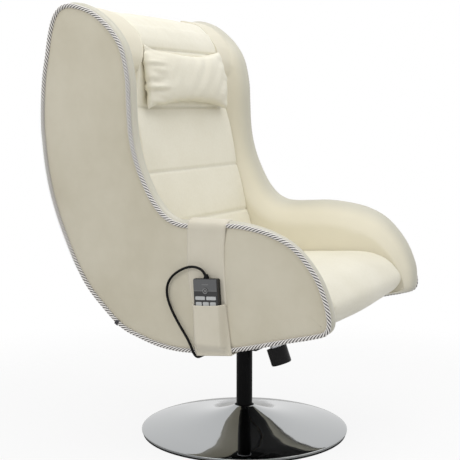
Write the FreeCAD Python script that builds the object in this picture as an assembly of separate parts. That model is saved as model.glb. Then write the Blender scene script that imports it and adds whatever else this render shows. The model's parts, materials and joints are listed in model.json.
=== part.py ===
"""Swivel massage armchair: upholstered seat, massage back and hand control on a disc base.

Millimetres. +Z is up, the origin lies on the floor on the column's axis, and the sitter
looks along -Y with the right arm on the -X side.
"""
import FreeCAD
import Part
import math
import os

V = FreeCAD.Vector
os.makedirs("parts", exist_ok=True)

# driving dimensions
SIDE_X = 347.0            # piping plane of each side, from the middle
PIPING_R = 6.0            # piping rope radius
ROLL = 12.0               # how far the padded edge stands out past the piping
INNER_X = 275.0           # inside face of each arm
DISC_R = 290.0            # base disc radius
DISC_T = 1.8
COLUMN_R = 22.5           # column tube radius
SPINDLE_R = 14.0          # swivel spindle radius
RUN = 0.05                # radial clearance of a shaft in its bore
FIT = 0.4                 # clearance between bodies that slide or turn
TILT_Y = -45.0            # recline axle
TILT_Z = 268.0
AXLE_R = 6.0
BOLT_R = 6.0              # tension bolt
BOLT_TOP = (-82.0, 297.0)
BOLT_LEAN = 20.0          # forward lean of the tension bolt, degrees
KNOB_R = 28.5
KNOB_RIM = 50.0           # distances down the tension bolt
KNOB_END = 99.0
SPRING_END = 80.0         # lower end of the tension spring
BOLT_END = 93.0
KNOB_BORE = 97.5
SHELF_T = 22.0
SHELF_THICK = 3.0
BACK_LEAN = 9.4           # lean of the rails and the massage carriage, degrees
CARRIAGE_Y = 258.0        # carriage at rest
CARRIAGE_Z = 720.0
RAIL_X = 150.0
POST_X = 185.0            # back frame uprights
ROLLER_R = 22.0
ROLLER_X = 55.0
ROLLER_Z = 52.0
SHAFT_Y = 32.0            # kneading shaft behind the rails
SCREW_Y = 58.0            # lead screw behind the rails
SCREW_R = 7.0
STRAP_LEAN = 3.5          # lean of the pocket strap and hand control, degrees
STRAP_HALF = 52.0
STRAP_Y = -69.5           # strap's middle on top of the arm
STRAP_Z = 630.0
STRAP_X = 353.6           # inner face of the strap's outside leg
STRAP_T = 2.5
HAND_HALF = 33.5          # hand control half width
HAND_T = 18.0
HAND_Z0 = 331.0
HAND_Z1 = 495.0
HAND_Y = -77.0
POUCH_LOW = 305.0
POUCH_HIGH = 430.0
POUCH_T = 2.5
CORD_R = 3.25
TUBE_WALL = 1.5           # back frame tube

# side outline: (y, z, roll weight, inward depth weight), from the rear middle over the top
OUTLINE = [
    (423, 869, 0, 0), (421, 931, 0, 0), (415, 992, 0, 0), (405, 1045, 0, 0), (395, 1097, 0, 0.1),
    (382, 1138, 0.1, 0.2), (361, 1163, 0.5, 0.3), (333, 1170, 0.85, 0.5), (301, 1164, 1, 0.7),
    (265, 1150, 1, 0.8), (230, 1125, 1, 0.8), (200, 1095, 1, 0.8), (178, 1061, 1, 0.8),
    (166, 1021, 1, 1), (159, 977, 1, 1), (157, 930, 1, 1), (154, 867, 1, 1), (147, 816, 1, 1),
    (132, 764, 1, 1), (111, 717, 1, 1), (88, 677, 1, 1), (58, 643, 1, 1), (24, 624, 1, 1),
    (-12, 619, 1, 1), (-64, 622, 1, 1), (-120, 625, 1, 1), (-176, 622, 1, 1), (-240, 608, 1, 1),
    (-300, 578, 1, 0.8), (-352, 520, 1, 0.5), (-380, 459, 1, 0.3), (-390, 410, 1, 0.1),
    (-382, 384, 0.9, 0), (-348, 371, 0.5, 0), (-300, 359, 0.35, 0), (-242, 344, 0.25, 0),
    (-193, 331, 0.15, 0), (-140, 319, 0.05, 0), (-82, 309, 0, 0), (-24, 304.5, 0, 0), (23, 304.5, 0, 0),
    (74, 311, 0, 0), (127, 326, 0, 0), (184, 349, 0, 0), (242, 399, 0, 0), (283, 442, 0, 0),
    (315, 490, 0, 0), (337, 532, 0, 0), (364, 592, 0, 0), (382, 638, 0, 0), (400, 696, 0, 0),
    (413, 761, 0, 0), (420, 823, 0, 0),
]
# cross-section of the padded edge: (x, offset times roll, plain offset, offset times inward depth)
EDGE = [(347, 0.0, -3.0, 0), (343, 0.5, -4.0, 0), (335, 0.93, -6.0, 0), (325, 1.0, -7.0, 0),
        (314, 0.78, -7.0, -1), (303, 0.3, -7.0, -5), (290, -0.3, -7.0, -13), (264, -0.7, -7.0, -24),
        (238, -0.9, -7.0, -29), (200, -1.0, -7.0, -32)]
# half width of the space between the two sides at each height
INSIDE = [(560, 275), (640, 272), (750, 267), (850, 262), (912, 254), (1000, 233), (1065, 213),
          (1105, 212), (1140, 219), (1165, 232)]


def point(x, y, z):
    return V(float(x), float(y), float(z))


def box(x0, x1, y0, y1, z0, z1):
    return Part.makeBox(x1 - x0, y1 - y0, z1 - z0, point(x0, y0, z0))


def rod(start, end, radius):
    axis = end - start
    return Part.makeCylinder(radius, axis.Length, start, axis)


def tube(start, end, outer, inner):
    return rod(start, end, outer).cut(rod(start, end, inner))


def polygon(points):
    return Part.makePolygon(points + [points[0]])


def plate(points, direction):
    """Flat outline pushed along a direction."""
    return Part.Face(polygon(points)).extrude(direction)


def smooth(points, closed=False):
    curve = Part.BSplineCurve()
    curve.interpolate(Points=points, PeriodicFlag=closed)
    return curve


def sheet(points, thickness, x0, x1):
    """A sheet that follows a line in the YZ plane, thickened to the line's left."""
    outer = smooth([point(x0, y, z) for y, z in points])
    count = len(points) * 2
    inner = []
    for index in range(count + 1):
        u = outer.FirstParameter + (outer.LastParameter - outer.FirstParameter) * index / count
        tangent = outer.tangent(u)[0]
        inner.append(outer.value(u) + V(0, -tangent.z, tangent.y) * thickness)
    back = smooth(inner)
    edges = [outer.toShape(), Part.makeLine(outer.EndPoint, back.EndPoint),
             back.toShape(), Part.makeLine(back.StartPoint, outer.StartPoint)]
    face = Part.Face(Part.Wire(Part.__sortEdges__(edges)))
    return face.extrude(V(x1 - x0, 0, 0))


def turned(profile):
    """Body of revolution about Z from (radius, z) points."""
    face = Part.Face(polygon([point(r, 0, z) for r, z in profile]))
    return face.revolve(V(0, 0, 0), V(0, 0, 1), 360)


def mirrored(shape):
    return shape.mirror(V(0, 0, 0), V(1, 0, 0))


def save(name, shape):
    shape.exportStep("parts/" + name + ".step")


def leaned(shape, angle, y, z):
    """Place a shape drawn upright at the origin: lean its top back and move it to (y, z)."""
    copy = shape.copy()
    copy.rotate(V(0, 0, 0), V(1, 0, 0), -angle)
    copy.translate(V(0, y, z))
    return copy


def on_rails(shape):
    return leaned(shape, BACK_LEAN, CARRIAGE_Y, CARRIAGE_Z)


# outline curve and its outward normals
rim = smooth([point(0, y, z) for y, z, roll, depth in OUTLINE], True)
rim_normals = []
for y, z, roll, depth in OUTLINE:
    tangent = rim.tangent(rim.parameter(point(0, y, z)))[0]
    rim_normals.append(V(0, tangent.z, -tangent.y))
if rim_normals[0].y < 0:
    rim_normals = [normal * -1 for normal in rim_normals]


def edge_section(x, rolled, plain, deep):
    """Closed outline of a side at one distance from the middle."""
    points = []
    for (y, z, roll, depth), normal in zip(OUTLINE, rim_normals):
        offset = ROLL * rolled * roll + plain * (1 - roll) + deep * depth
        points.append(point(-x, y, z) + normal * offset)
    return Part.Wire(smooth(points, True).toShape())


def inside_space(clearance):
    """Everything between the two sides, as wide as INSIDE says at each height."""
    right = [point(-(w - clearance), -600, z) for z, w in INSIDE]
    left = [point(w - clearance, -600, z) for z, w in INSIDE]
    low = INNER_X - clearance
    top = 1250
    edges = [Part.makeLine(point(-low, -600, 250), point(low, -600, 250)),
             Part.makeLine(point(low, -600, 250), left[0]),
             smooth(left).toShape(),
             Part.makeLine(left[-1], point(left[-1].x, -600, top)),
             Part.makeLine(point(left[-1].x, -600, top), point(right[-1].x, -600, top)),
             Part.makeLine(point(right[-1].x, -600, top), right[-1]),
             smooth(right).toShape(),
             Part.makeLine(right[0], point(-low, -600, 250))]
    face = Part.Face(Part.Wire(Part.__sortEdges__(edges)))
    return face.extrude(V(0, 1200, 0))


# sides: one padded shell for arm, wing and head side
ROUND_ROWS = 7            # rows of the rounded edge, the rest is the flat inside of the wing
rounded_edge = Part.makeLoft([edge_section(*row) for row in EDGE[:ROUND_ROWS]], True, False)
wing_inside = Part.makeLoft([edge_section(*row) for row in EDGE[ROUND_ROWS - 1:]], True, True)
side = rounded_edge.fuse(wing_inside).cut(inside_space(0))
save("side_panel_right", side)
save("side_panel_left", mirrored(side))

# piping in the seam round each side
rope_path = smooth([point(-SIDE_X, y, z) for y, z, roll, depth in OUTLINE], True)
rope_start = rope_path.value(rope_path.FirstParameter)
rope_ring = Part.Circle(rope_start, rope_path.tangent(rope_path.FirstParameter)[0], PIPING_R)
rope = Part.Wire(rope_path.toShape()).makePipeShell([Part.Wire(rope_ring.toShape())], True, False)
save("piping_right", rope)
save("piping_left", mirrored(rope))

# rear cover: one sheet down the back and under the seat, between the pipings
rear_line = [(y, z) for y, z, roll, depth in OUTLINE[40:] + OUTLINE[:6]] + [(369, 1157)]
cover_x = SIDE_X - PIPING_R
rear_cover = sheet(rear_line, 4.0, -cover_x, cover_x)

# cloth under the front of the seat
front_line = [(-285, 350), (-242, 340), (-193, 329), (-140, 318), (-82, 309), (-24, 304.5), (20, 304.5)]
underside_cover = sheet(front_line, 2.0, -(INNER_X - 2), INNER_X - 2)

# seat cushion: a rolled nose, a crowned top and a step at the back for the brackets
SEAT_TOP = [(130, 470), (60, 479), (-66, 484), (-149, 489), (-258, 495), (-319, 479), (-358, 448),
            (-368, 422), (-350, 394), (-300, 364)]
SEAT_STEP = [(-270, 353), (45, 353), (45, 402), (130, 402)]


def seat_section(x, rise, shrink):
    middle_y = -110.0
    middle_z = 425.0
    top = []
    for y, z in SEAT_TOP:
        high = rise * max(0.0, (z - 440.0) / 50.0) * min(1.0, (160.0 - y) / 200.0)
        top.append(point(x, middle_y + (y - middle_y) * (1 - shrink),
                         middle_z + (z - middle_z) * (1 - shrink * 3) + high))
    step = [point(x, middle_y + (y - middle_y) * (1 - shrink), z) for y, z in SEAT_STEP]
    edges = [smooth(top).toShape(), Part.makeLine(top[-1], step[0])]
    edges += [Part.makeLine(step[i], step[i + 1]) for i in range(3)]
    edges.append(Part.makeLine(step[3], top[0]))
    return Part.Wire(edges)


seat_half = INNER_X - 1.0
seat_rows = [(-seat_half, -3, 0.03), (-seat_half + 9, 0, 0.004), (-150, 8, -0.004), (0, 12, -0.008),
             (150, 8, -0.004), (seat_half - 9, 0, 0.004), (seat_half, -3, 0.03)]
seat_cushion = Part.makeLoft([seat_section(*row) for row in seat_rows], True, False)
VIBRATORS = [(-110, -110), (110, -110)]
for x, y in VIBRATORS:
    seat_cushion = seat_cushion.cut(rod(point(x, y, 340), point(x, y, 380), 32))
save("seat_cushion", seat_cushion)

# back cushion: channels sewn across, the top pad folded over the frame
CHANNELS = [(237, 1132), (198, 1065), (190, 912), (155, 740), (124, 604), (99, 502)]
BULGE = 5.0
front_edges = []
top_pad = smooth([point(0, 368, 1150), point(0, 345, 1162), point(0, 300, 1163), point(0, 262, 1152),
                  point(0, 218, 1115), point(0, 198, 1065)])
front_edges.append(top_pad.toShape())
for (y0, z0), (y1, z1) in zip(CHANNELS[1:-1], CHANNELS[2:]):
    length = math.hypot(y1 - y0, z1 - z0)
    forward = V(0, (z1 - z0) / length, -(y1 - y0) / length)
    middle = point(0, (y0 + y1) / 2, (z0 + z1) / 2) + forward * BULGE
    front_edges.append(Part.Arc(point(0, y0, z0), middle, point(0, y1, z1)).toShape())
REAR = [(99, 502), (160, 494), (175, 580), (252, 1050), (275, 1102), (315, 1135), (368, 1150)]
rear_edges = [Part.makeLine(point(0, *REAR[i]), point(0, *REAR[i + 1])) for i in range(6)]
back_face = Part.Face(Part.Wire(front_edges + rear_edges))
back_cushion = back_face.extrude(V(600, 0, 0))
back_cushion.translate(V(-300, 0, 0))
back_cushion = back_cushion.common(inside_space(1.0))
save("back_cushion", back_cushion)

# head pillow: pinched ends, flat where it rests on the back; (depth, half width, half height)
PILLOW_Y = 184.0
PILLOW_Z = 989.0
PILLOW_LEAN = 5.0
PILLOW = [(-50, 130, 34), (-44, 176, 50), (-32, 202, 62), (-18, 214, 70), (-7, 220, 76), (0, 216, 73)]


def pillow_section(depth, half_x, half_z):
    points = []
    for step in range(20):
        angle = 2 * math.pi * step / 20
        c = math.cos(angle)
        s = math.sin(angle)
        points.append(point(math.copysign(abs(c) ** 0.62, c) * half_x, depth,
                            math.copysign(abs(s) ** 0.62, s) * half_z))
    return Part.Wire(smooth(points, True).toShape())


pillow = Part.makeLoft([pillow_section(*row) for row in PILLOW], True, False)
save("headrest_pillow", leaned(pillow, PILLOW_LEAN, PILLOW_Y, PILLOW_Z))

# base: spun disc, weight, full floor pad, column
shell_outer = [(DISC_R - 2, 5), (DISC_R, 9), (DISC_R - 4, 13), (250, 20), (200, 26.5), (150, 33.5), (105, 42),
               (66, 54), (42, 67), (31, 78), (27.5, 90)]
outer_curve = smooth([point(r, 0, z) for r, z in shell_outer])
inner_points = [point(r - DISC_T, 0, z) if z < 12 or r < 35 else point(r - DISC_T / 3, 0, z - DISC_T)
                for r, z in shell_outer]
inner_curve = smooth(inner_points)
shell_edges = [outer_curve.toShape(), Part.makeLine(outer_curve.EndPoint, inner_curve.EndPoint),
               inner_curve.toShape(), Part.makeLine(inner_curve.StartPoint, outer_curve.StartPoint)]
base_disc = Part.Face(Part.Wire(Part.__sortEdges__(shell_edges))).revolve(V(0, 0, 0), V(0, 0, 1), 360)
save("base_disc", base_disc)

save("floor_pad", turned([(0, 0), (287, 0), (287, 4), (0, 4)]))
base_weight = turned([(COLUMN_R, 4), (270, 4), (270, 9), (240, 15), (COLUMN_R, 15)])
FOOT_BOLTS = 4
foot_bolts = []
for index in range(FOOT_BOLTS):
    angle = math.radians(45 + 90 * index)
    x = 48 * math.cos(angle)
    y = 48 * math.sin(angle)
    bolt = rod(point(x, y, 6), point(x, y, 21), 4)
    head = rod(point(x, y, 21), point(x, y, 27), 7)
    socket = rod(point(x, y, 23.5), point(x, y, 28), 3.5)
    foot_bolts.append(bolt.fuse(head).cut(socket))
    base_weight = base_weight.cut(rod(point(x, y, 5), point(x, y, 16), 4))
save("base_weight", base_weight)
save("foot_bolts", Part.makeCompound(foot_bolts))

COLUMN_TOP = 236.0
column = turned([(19.5, 5), (COLUMN_R, 5), (COLUMN_R, 15), (62, 15), (62, 21), (COLUMN_R, 21),
                 (COLUMN_R, COLUMN_TOP), (19.5, COLUMN_TOP)])
for index in range(FOOT_BOLTS):
    angle = math.radians(45 + 90 * index)
    x = 48 * math.cos(angle)
    y = 48 * math.sin(angle)
    column = column.cut(rod(point(x, y, 14), point(x, y, 22), 4))
save("column_tube", column)
save("column_bushing", tube(point(0, 0, 70), point(0, 0, COLUMN_TOP), 19.5, SPINDLE_R + RUN))
save("thrust_bearing", turned([(15, COLUMN_TOP), (24, COLUMN_TOP), (25, 238), (24, 242.6), (15, 242.6)]))

# tilt housing: pressed channel with a shelf for the tension spring
bolt_angle = math.radians(BOLT_LEAN)
bolt_down = V(0, -math.sin(bolt_angle), -math.cos(bolt_angle))
bolt_front = V(0, -math.cos(bolt_angle), math.sin(bolt_angle))
bolt_top = point(0, *BOLT_TOP)


def on_bolt(distance, forward=0.0, x=0.0):
    """A point measured down the tension bolt and forward of it."""
    return bolt_top + bolt_down * distance + bolt_front * forward + V(x, 0, 0)


def bolt_rod(start, end, radius):
    return rod(on_bolt(start), on_bolt(end), radius)


HOUSING_X = 45.0
WALL = 3.0
shelf_low = SHELF_T + SHELF_THICK
wall_outline = [(40, 243), (-58, 243)]
wall_outline += [(on_bolt(shelf_low, -20).y, on_bolt(shelf_low, -20).z)]
wall_outline += [(on_bolt(shelf_low, 22).y, on_bolt(shelf_low, 22).z), (-118, 288), (-22, 288), (40, 264)]
wall = plate([point(HOUSING_X - WALL, y, z) for y, z in wall_outline], V(WALL, 0, 0))
floor_plate = box(-HOUSING_X, HOUSING_X, -58, 40, 243, 246)
web = plate([point(-HOUSING_X, -58, 243), point(-HOUSING_X, -58, 246),
             on_bolt(SHELF_T, -20, -HOUSING_X), on_bolt(shelf_low, -20, -HOUSING_X)], V(2 * HOUSING_X, 0, 0))
shelf = plate([on_bolt(SHELF_T, -20, -HOUSING_X), on_bolt(SHELF_T, 22, -HOUSING_X),
               on_bolt(shelf_low, 22, -HOUSING_X), on_bolt(shelf_low, -20, -HOUSING_X)],
              V(2 * HOUSING_X, 0, 0))
slot = plate([on_bolt(SHELF_T - 1, -9, -7.5), on_bolt(SHELF_T - 1, 13, -7.5),
              on_bolt(shelf_low + 1, 13, -7.5), on_bolt(shelf_low + 1, -9, -7.5)], V(15, 0, 0))
socket = rod(point(0, 0, 243), point(0, 0, 260), 20)
housing = floor_plate.fuse([web, shelf.cut(slot), wall, mirrored(wall), socket])
housing = housing.cut(rod(point(0, 0, 240), point(0, 0, 262), SPINDLE_R))
axle = rod(point(-55, TILT_Y, TILT_Z), point(55, TILT_Y, TILT_Z), AXLE_R)
housing = housing.cut(axle)
save("tilt_housing", housing)
save("spindle", turned([(0, 60), (SPINDLE_R - 2, 60), (SPINDLE_R, 62), (SPINDLE_R, 262), (0, 262)]))
axle_heads = [rod(point(side_x * 50.5, TILT_Y, TILT_Z), point(side_x * 55, TILT_Y, TILT_Z), 9)
              for side_x in (-1, 1)]
save("tilt_axle", axle.fuse(axle_heads))
pads = [box(x - 7, x + 7, -103, -91, 270, 296.6).cut(housing) for x in (-34, 34)]
pads = [max(pad.Solids, key=lambda piece: piece.CenterOfMass.z) for pad in pads]
save("stop_pads", Part.makeCompound(pads))

# seat plate with two ears on the recline axle
seat_plate = box(-60, 60, -128, 62, 297, 300)
ear_outline = [(-78, 297), (-60, 262), (-52, 256), (-38, 256), (-30, 262), (-12, 297)]
ear = plate([point(46.5, y, z) for y, z in ear_outline], V(3, 0, 0))
seat_plate = seat_plate.fuse([ear, mirrored(ear)])
seat_plate = seat_plate.cut(rod(point(-60, TILT_Y, TILT_Z), point(60, TILT_Y, TILT_Z), AXLE_R + RUN))
seat_plate = seat_plate.cut(bolt_rod(-6, 12, BOLT_R))
PLATE_SCREWS = [(-30, -112), (30, -112), (-30, 45), (30, 45)]
BOARD_Z = 332.0
plate_screws = []
for x, y in PLATE_SCREWS:
    spacer = rod(point(x, y, 300), point(x, y, BOARD_Z), 9)
    shank = rod(point(x, y, 297), point(x, y, 346), 4)
    head = rod(point(x, y, 292), point(x, y, 297), 7)
    plate_screws.append(spacer.fuse([shank, head]))
    seat_plate = seat_plate.cut(rod(point(x, y, 296), point(x, y, 301), 4))
save("seat_plate", seat_plate)
screw_shape = Part.makeCompound(plate_screws)
save("plate_screws", screw_shape)

# tension bolt, spring, spring seat and knob under the front of the seat
bolt_head = rod(on_bolt(-8), on_bolt(-3), 10).common(box(-20, 20, -140, 0, 300, 330))
tension_bolt = bolt_rod(-6, BOLT_END, BOLT_R).fuse(bolt_head)
save("tension_bolt", tension_bolt)
spring = bolt_rod(shelf_low, SPRING_END, 17).cut(bolt_rod(shelf_low - 1, SPRING_END + 1, 12.5))
save("tension_spring", spring)
seat_washer = bolt_rod(SPRING_END, SPRING_END + 3, 20)
seat_washer = seat_washer.cut(bolt_rod(SPRING_END - 1, SPRING_END + 4, BOLT_R + RUN))
save("spring_seat", seat_washer)
knob = bolt_rod(KNOB_RIM, KNOB_END, KNOB_R)
knob_rim = [edge for edge in knob.Edges if (edge.CenterOfMass - on_bolt(KNOB_END)).Length < 0.1]
knob = knob.makeFillet(5.0, knob_rim)
knob = knob.cut(bolt_rod(KNOB_RIM - 1, SPRING_END + 3 + FIT, 24))
knob = knob.cut(bolt_rod(KNOB_RIM, KNOB_BORE, BOLT_R + RUN))
save("tension_knob", knob)

# seat board and the brackets that carry the back frame
seat_board = box(-262, 262, -190, 100, BOARD_Z, 350)
board_corners = [e for e in seat_board.Edges if abs(e.tangentAt(e.FirstParameter).z) > 0.9]
seat_board = seat_board.makeFillet(30, board_corners)
for x, y in PLATE_SCREWS:
    seat_board = seat_board.cut(rod(point(x, y, 330), point(x, y, 346), 4))
save("seat_board", seat_board)
bracket_outline = [(60, 350), (100, 350), (150, 368), (222, 405), (222, 424), (196, 424), (128, 396),
                   (60, 396)]
bracket = plate([point(196.5, y, z) for y, z in bracket_outline], V(6, 0, 0))
bracket_foot = box(170, 202.5, 60, 98, 350, 354)
bracket = bracket.fuse(bracket_foot)
vibrators = [rod(point(x, y, 350), point(x, y, 374), 30) for x, y in VIBRATORS]
save("seat_vibrators", Part.makeCompound(vibrators))

# back frame tubes, drawn upright on the rails' plane
POST_R = 11.0
POST_LOW = -306.0
POST_HIGH = 372.0
POST_END = 196.0


def frame_tubes(radius):
    """The two uprights and the two cross tubes, welded into one frame."""
    tubes = [rod(point(s * POST_X, 0, POST_LOW), point(s * POST_X, 0, POST_HIGH), radius) for s in (-1, 1)]
    tubes += [rod(point(-POST_END, 0, z), point(POST_END, 0, z), radius) for z in (POST_LOW, POST_HIGH)]
    return tubes[0].fuse(tubes[1:])


back_frame = on_rails(frame_tubes(POST_R).cut(frame_tubes(POST_R - TUBE_WALL)))
save("back_frame", back_frame)
bracket = bracket.cut(back_frame)
save("frame_brackets", Part.makeCompound([bracket, mirrored(bracket)]))

# rails for the massage carriage, with cross plates that hold the lead screw
RAIL_LOW = -225.0
RAIL_HIGH = 350.0
rails = []
for s in (-1, 1):
    rail = box(s * RAIL_X - 10, s * RAIL_X + 10, -10, 10, RAIL_LOW, RAIL_HIGH)
    rails.append(rail.cut(box(s * RAIL_X - 8, s * RAIL_X + 8, -8, 8, RAIL_LOW - 1, RAIL_HIGH + 1)))
low_plate = box(-174, 174, -10, 72, RAIL_LOW - 4, RAIL_LOW)
high_plate = box(-174, 174, -10, 72, RAIL_HIGH, RAIL_HIGH + 4)
screw_hole = rod(point(0, SCREW_Y, RAIL_LOW - 5), point(0, SCREW_Y, RAIL_HIGH + 5), SCREW_R - 1 + RUN)
rail_set = rails[0].fuse([rails[1], low_plate, high_plate]).cut(screw_hole)
save("guide_rails", on_rails(rail_set).cut(back_frame))
lead_screw = rod(point(0, SCREW_Y, RAIL_LOW + FIT), point(0, SCREW_Y, RAIL_HIGH - FIT), SCREW_R)
screw_ends = rod(point(0, SCREW_Y, RAIL_LOW - 12), point(0, SCREW_Y, RAIL_HIGH + 4), SCREW_R - 1)
lead_screw = lead_screw.fuse(screw_ends)
save("lead_screw", on_rails(lead_screw))
gearbox = box(-16, 72, -14, 72, RAIL_LOW - 18, RAIL_LOW - 4)
gearbox = gearbox.cut(rod(point(0, SCREW_Y, RAIL_LOW - 13), point(0, SCREW_Y, RAIL_LOW), SCREW_R - 1 + RUN))
lift_motor = gearbox.fuse(rod(point(46, 8, RAIL_LOW - 66), point(46, 8, RAIL_LOW - 18), 22))
save("lift_motor", on_rails(lift_motor))

# massage carriage
CHEEK_X = 104.0
carriage = box(-CHEEK_X, CHEEK_X, 7, 11, -58, 58)
for s in (-1, 1):
    cheek = box(min(s * CHEEK_X, s * 110), max(s * CHEEK_X, s * 110), -6, 74, -48, 48)
    arm_bar = box(min(s * 110, s * 137), max(s * 110, s * 137), -8, 8, -10, 10)
    sleeve = box(s * RAIL_X - 14, s * RAIL_X + 14, -14, 14, -48, 48)
    gap = 10 + FIT
    sleeve = sleeve.cut(box(s * RAIL_X - gap, s * RAIL_X + gap, -gap, gap, -49, 49))
    pin = rod(point(s * 75, -12, 0), point(s * 75, 8, 0), 6)
    carriage = carriage.fuse([cheek, arm_bar, sleeve, pin])
rear_bar = box(-110, 110, 68, 74, -16, 16)
nut = box(-16, 16, 46, 74, -18, 18)
carriage = carriage.fuse([rear_bar, nut])
carriage = carriage.cut(rod(point(0, SCREW_Y, -60), point(0, SCREW_Y, 60), SCREW_R + RUN))
carriage = carriage.cut(rod(point(-115, SHAFT_Y, 0), point(115, SHAFT_Y, 0), SCREW_R + RUN))
save("carriage_frame", on_rails(carriage))

shaft = rod(point(-110, SHAFT_Y, 0), point(110, SHAFT_Y, 0), SCREW_R)
for s in (-1, 1):
    cam = rod(point(s * 75 - 6, SHAFT_Y, 4 * s), point(s * 75 + 6, SHAFT_Y, 4 * s), 15)
    shaft = shaft.fuse(cam)
save("kneading_shaft", on_rails(shaft))
kneading_motor = box(-58, -22, 13, 45, -22, 22).fuse(rod(point(-40, 31, 22), point(-40, 31, 104), 19))
kneading_motor = kneading_motor.cut(rod(point(-60, SHAFT_Y, 0), point(-20, SHAFT_Y, 0), SCREW_R + FIT))
kneading_motor = kneading_motor.fuse(box(-50, -30, 11, 13, -10, 10))
save("kneading_motor", on_rails(kneading_motor))

AXLE_Y = -35.0
for name, s in (("right", -1), ("left", 1)):
    hub = rod(point(s * 75, -12, 0), point(s * 75, 6, 0), 13)
    link = plate([point(s * 75 - 3, -12, -13), point(s * 75 - 3, -12, 13),
                  point(s * 75 - 3, -28, ROLLER_Z + 7), point(s * 75 - 3, -42, ROLLER_Z + 7),
                  point(s * 75 - 3, -42, ROLLER_Z - 7),
                  point(s * 75 - 3, -26, 0), point(s * 75 - 3, -42, -ROLLER_Z + 7),
                  point(s * 75 - 3, -42, -ROLLER_Z - 7), point(s * 75 - 3, -28, -ROLLER_Z - 7)], V(6, 0, 0))
    arm = hub.fuse(link)
    for up in (-1, 1):
        inner = s * (ROLLER_X - 15)
        arm = arm.fuse(rod(point(s * 75, AXLE_Y, up * ROLLER_Z), point(inner, AXLE_Y, up * ROLLER_Z), 4))
    arm = arm.cut(rod(point(s * 75, -13, 0), point(s * 75, 8, 0), 6 + RUN))
    save("arm_" + name, on_rails(arm))
number = 1
for s in (-1, 1):
    for up in (1, -1):
        z = up * ROLLER_Z
        roller = rod(point(s * ROLLER_X - 13, AXLE_Y, z), point(s * ROLLER_X + 13, AXLE_Y, z), ROLLER_R)
        roller = roller.makeFillet(6.0, [e for e in roller.Edges if e.Curve.TypeId == "Part::GeomCircle"])
        roller = roller.cut(rod(point(s * 90, AXLE_Y, z), point(s * 20, AXLE_Y, z), 4 + RUN))
        save("roller_" + str(number), on_rails(roller))
        number = number + 1

# control box under the back, and the mains inlet in the rear cover
control_box = box(-190, -70, 143, 196, 386, 428)
control_box = control_box.makeFillet(4, control_box.Edges)
save("control_box", control_box)
inlet_at = point(-135, 246, 403.5)
inlet_out = V(0, 0.70, -0.714)
inlet = rod(inlet_at - inlet_out * 14, inlet_at, 9).fuse(rod(inlet_at, inlet_at + inlet_out * 3, 13))
inlet = inlet.cut(rod(inlet_at - inlet_out * 10, inlet_at + inlet_out * 4, 5.5))
save("power_inlet", inlet)
rear_cover = rear_cover.cut(rod(inlet_at - inlet_out * 20, inlet_at, 9))
rear_cover = rear_cover.cut(rod(inlet_at, inlet_at + inlet_out * 4, 13))
for x, y in PLATE_SCREWS:
    hole = rod(point(x, y, 295), point(x, y, BOARD_Z), 9)
    rear_cover = rear_cover.cut(hole)
    underside_cover = underside_cover.cut(hole)
rear_cover = rear_cover.cut([side, mirrored(side)])
save("rear_cover", rear_cover)

# pocket strap over the right arm, drawn upright about the strap's middle: (x, z) down the inside
# of the arm, over the padded edge and the piping, down the outside and under the arm
STRAP_LINE = [(-274.4, -112), (-274.4, -75), (-274.6, -42), (-280, -26), (-292, -15), (-304, -4.5),
              (-315, 2.5), (-325, 5.6), (-336, 5.2), (-346, 2), (-351.6, -2.5), (-STRAP_X, -12),
              (-STRAP_X, -60), (-STRAP_X, -150), (-STRAP_X, -250), (-STRAP_X, -314), (-351, -325),
              (-342, -329.5), (-320, -329.5), (-300, -329.5)]


def strapped(shape):
    return leaned(shape, STRAP_LEAN, STRAP_Y, STRAP_Z)


def band(line, thickness, half):
    """A strip as wide as 2 * half whose line runs in the XZ plane, thickened to the line's right."""
    inner = smooth([point(x, 0, z) for x, z in line])
    outer_points = []
    for x, z in line:
        tangent = inner.tangent(inner.parameter(point(x, 0, z)))[0]
        outer_points.append(point(x, 0, z) + V(tangent.z, 0, -tangent.x) * -thickness)
    outer = smooth(outer_points)
    edges = [inner.toShape(), Part.makeLine(inner.EndPoint, outer.EndPoint),
             outer.toShape(), Part.makeLine(outer.StartPoint, inner.StartPoint)]
    strip = Part.Face(Part.Wire(Part.__sortEdges__(edges))).extrude(V(0, 2 * half, 0))
    strip.translate(V(0, -half, 0))
    return strip


strap = band(STRAP_LINE, STRAP_T, STRAP_HALF)
strap = strapped(strap)
strap = strap.cut([side, rope])
strap = max(strap.Solids, key=lambda piece: piece.Volume)
save("remote_pocket", strap)

# hand control in the pocket, its front towards -X
HAND_MID_Z = 460.0
hand_back_x = STRAP_X + STRAP_T + FIT
hand_mid_x = hand_back_x + 8.0
hand_front_x = hand_back_x + HAND_T
hand_low = HAND_Z0 - STRAP_Z
hand_high = HAND_Z1 - STRAP_Z
hand_off = HAND_Y - STRAP_Y - math.tan(math.radians(STRAP_LEAN)) * (HAND_MID_Z - STRAP_Z)


def rounded_plate(half, low_z, high_z, x0, x1, radius, off=0.0):
    body = box(-x1, -x0, off - half, off + half, low_z, high_z)
    return body.makeFillet(radius, [e for e in body.Edges if abs(e.tangentAt(e.FirstParameter).x) > 0.9])


handset_back = rounded_plate(HAND_HALF - 1, hand_low + 1, hand_high - 1, hand_back_x, hand_mid_x, 4, hand_off)
handset_front = rounded_plate(HAND_HALF, hand_low, hand_high, hand_mid_x, hand_front_x, 5, hand_off)
front_rim = [e for e in handset_front.Edges if abs(e.CenterOfMass.x + hand_front_x) < 0.1]
handset_front = handset_front.makeFillet(2.0, front_rim)
board = box(-hand_front_x + 5.5, -hand_mid_x, hand_off - 30, hand_off + 30, hand_low + 8, hand_high - 16)
handset_front = handset_front.cut(board)
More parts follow.
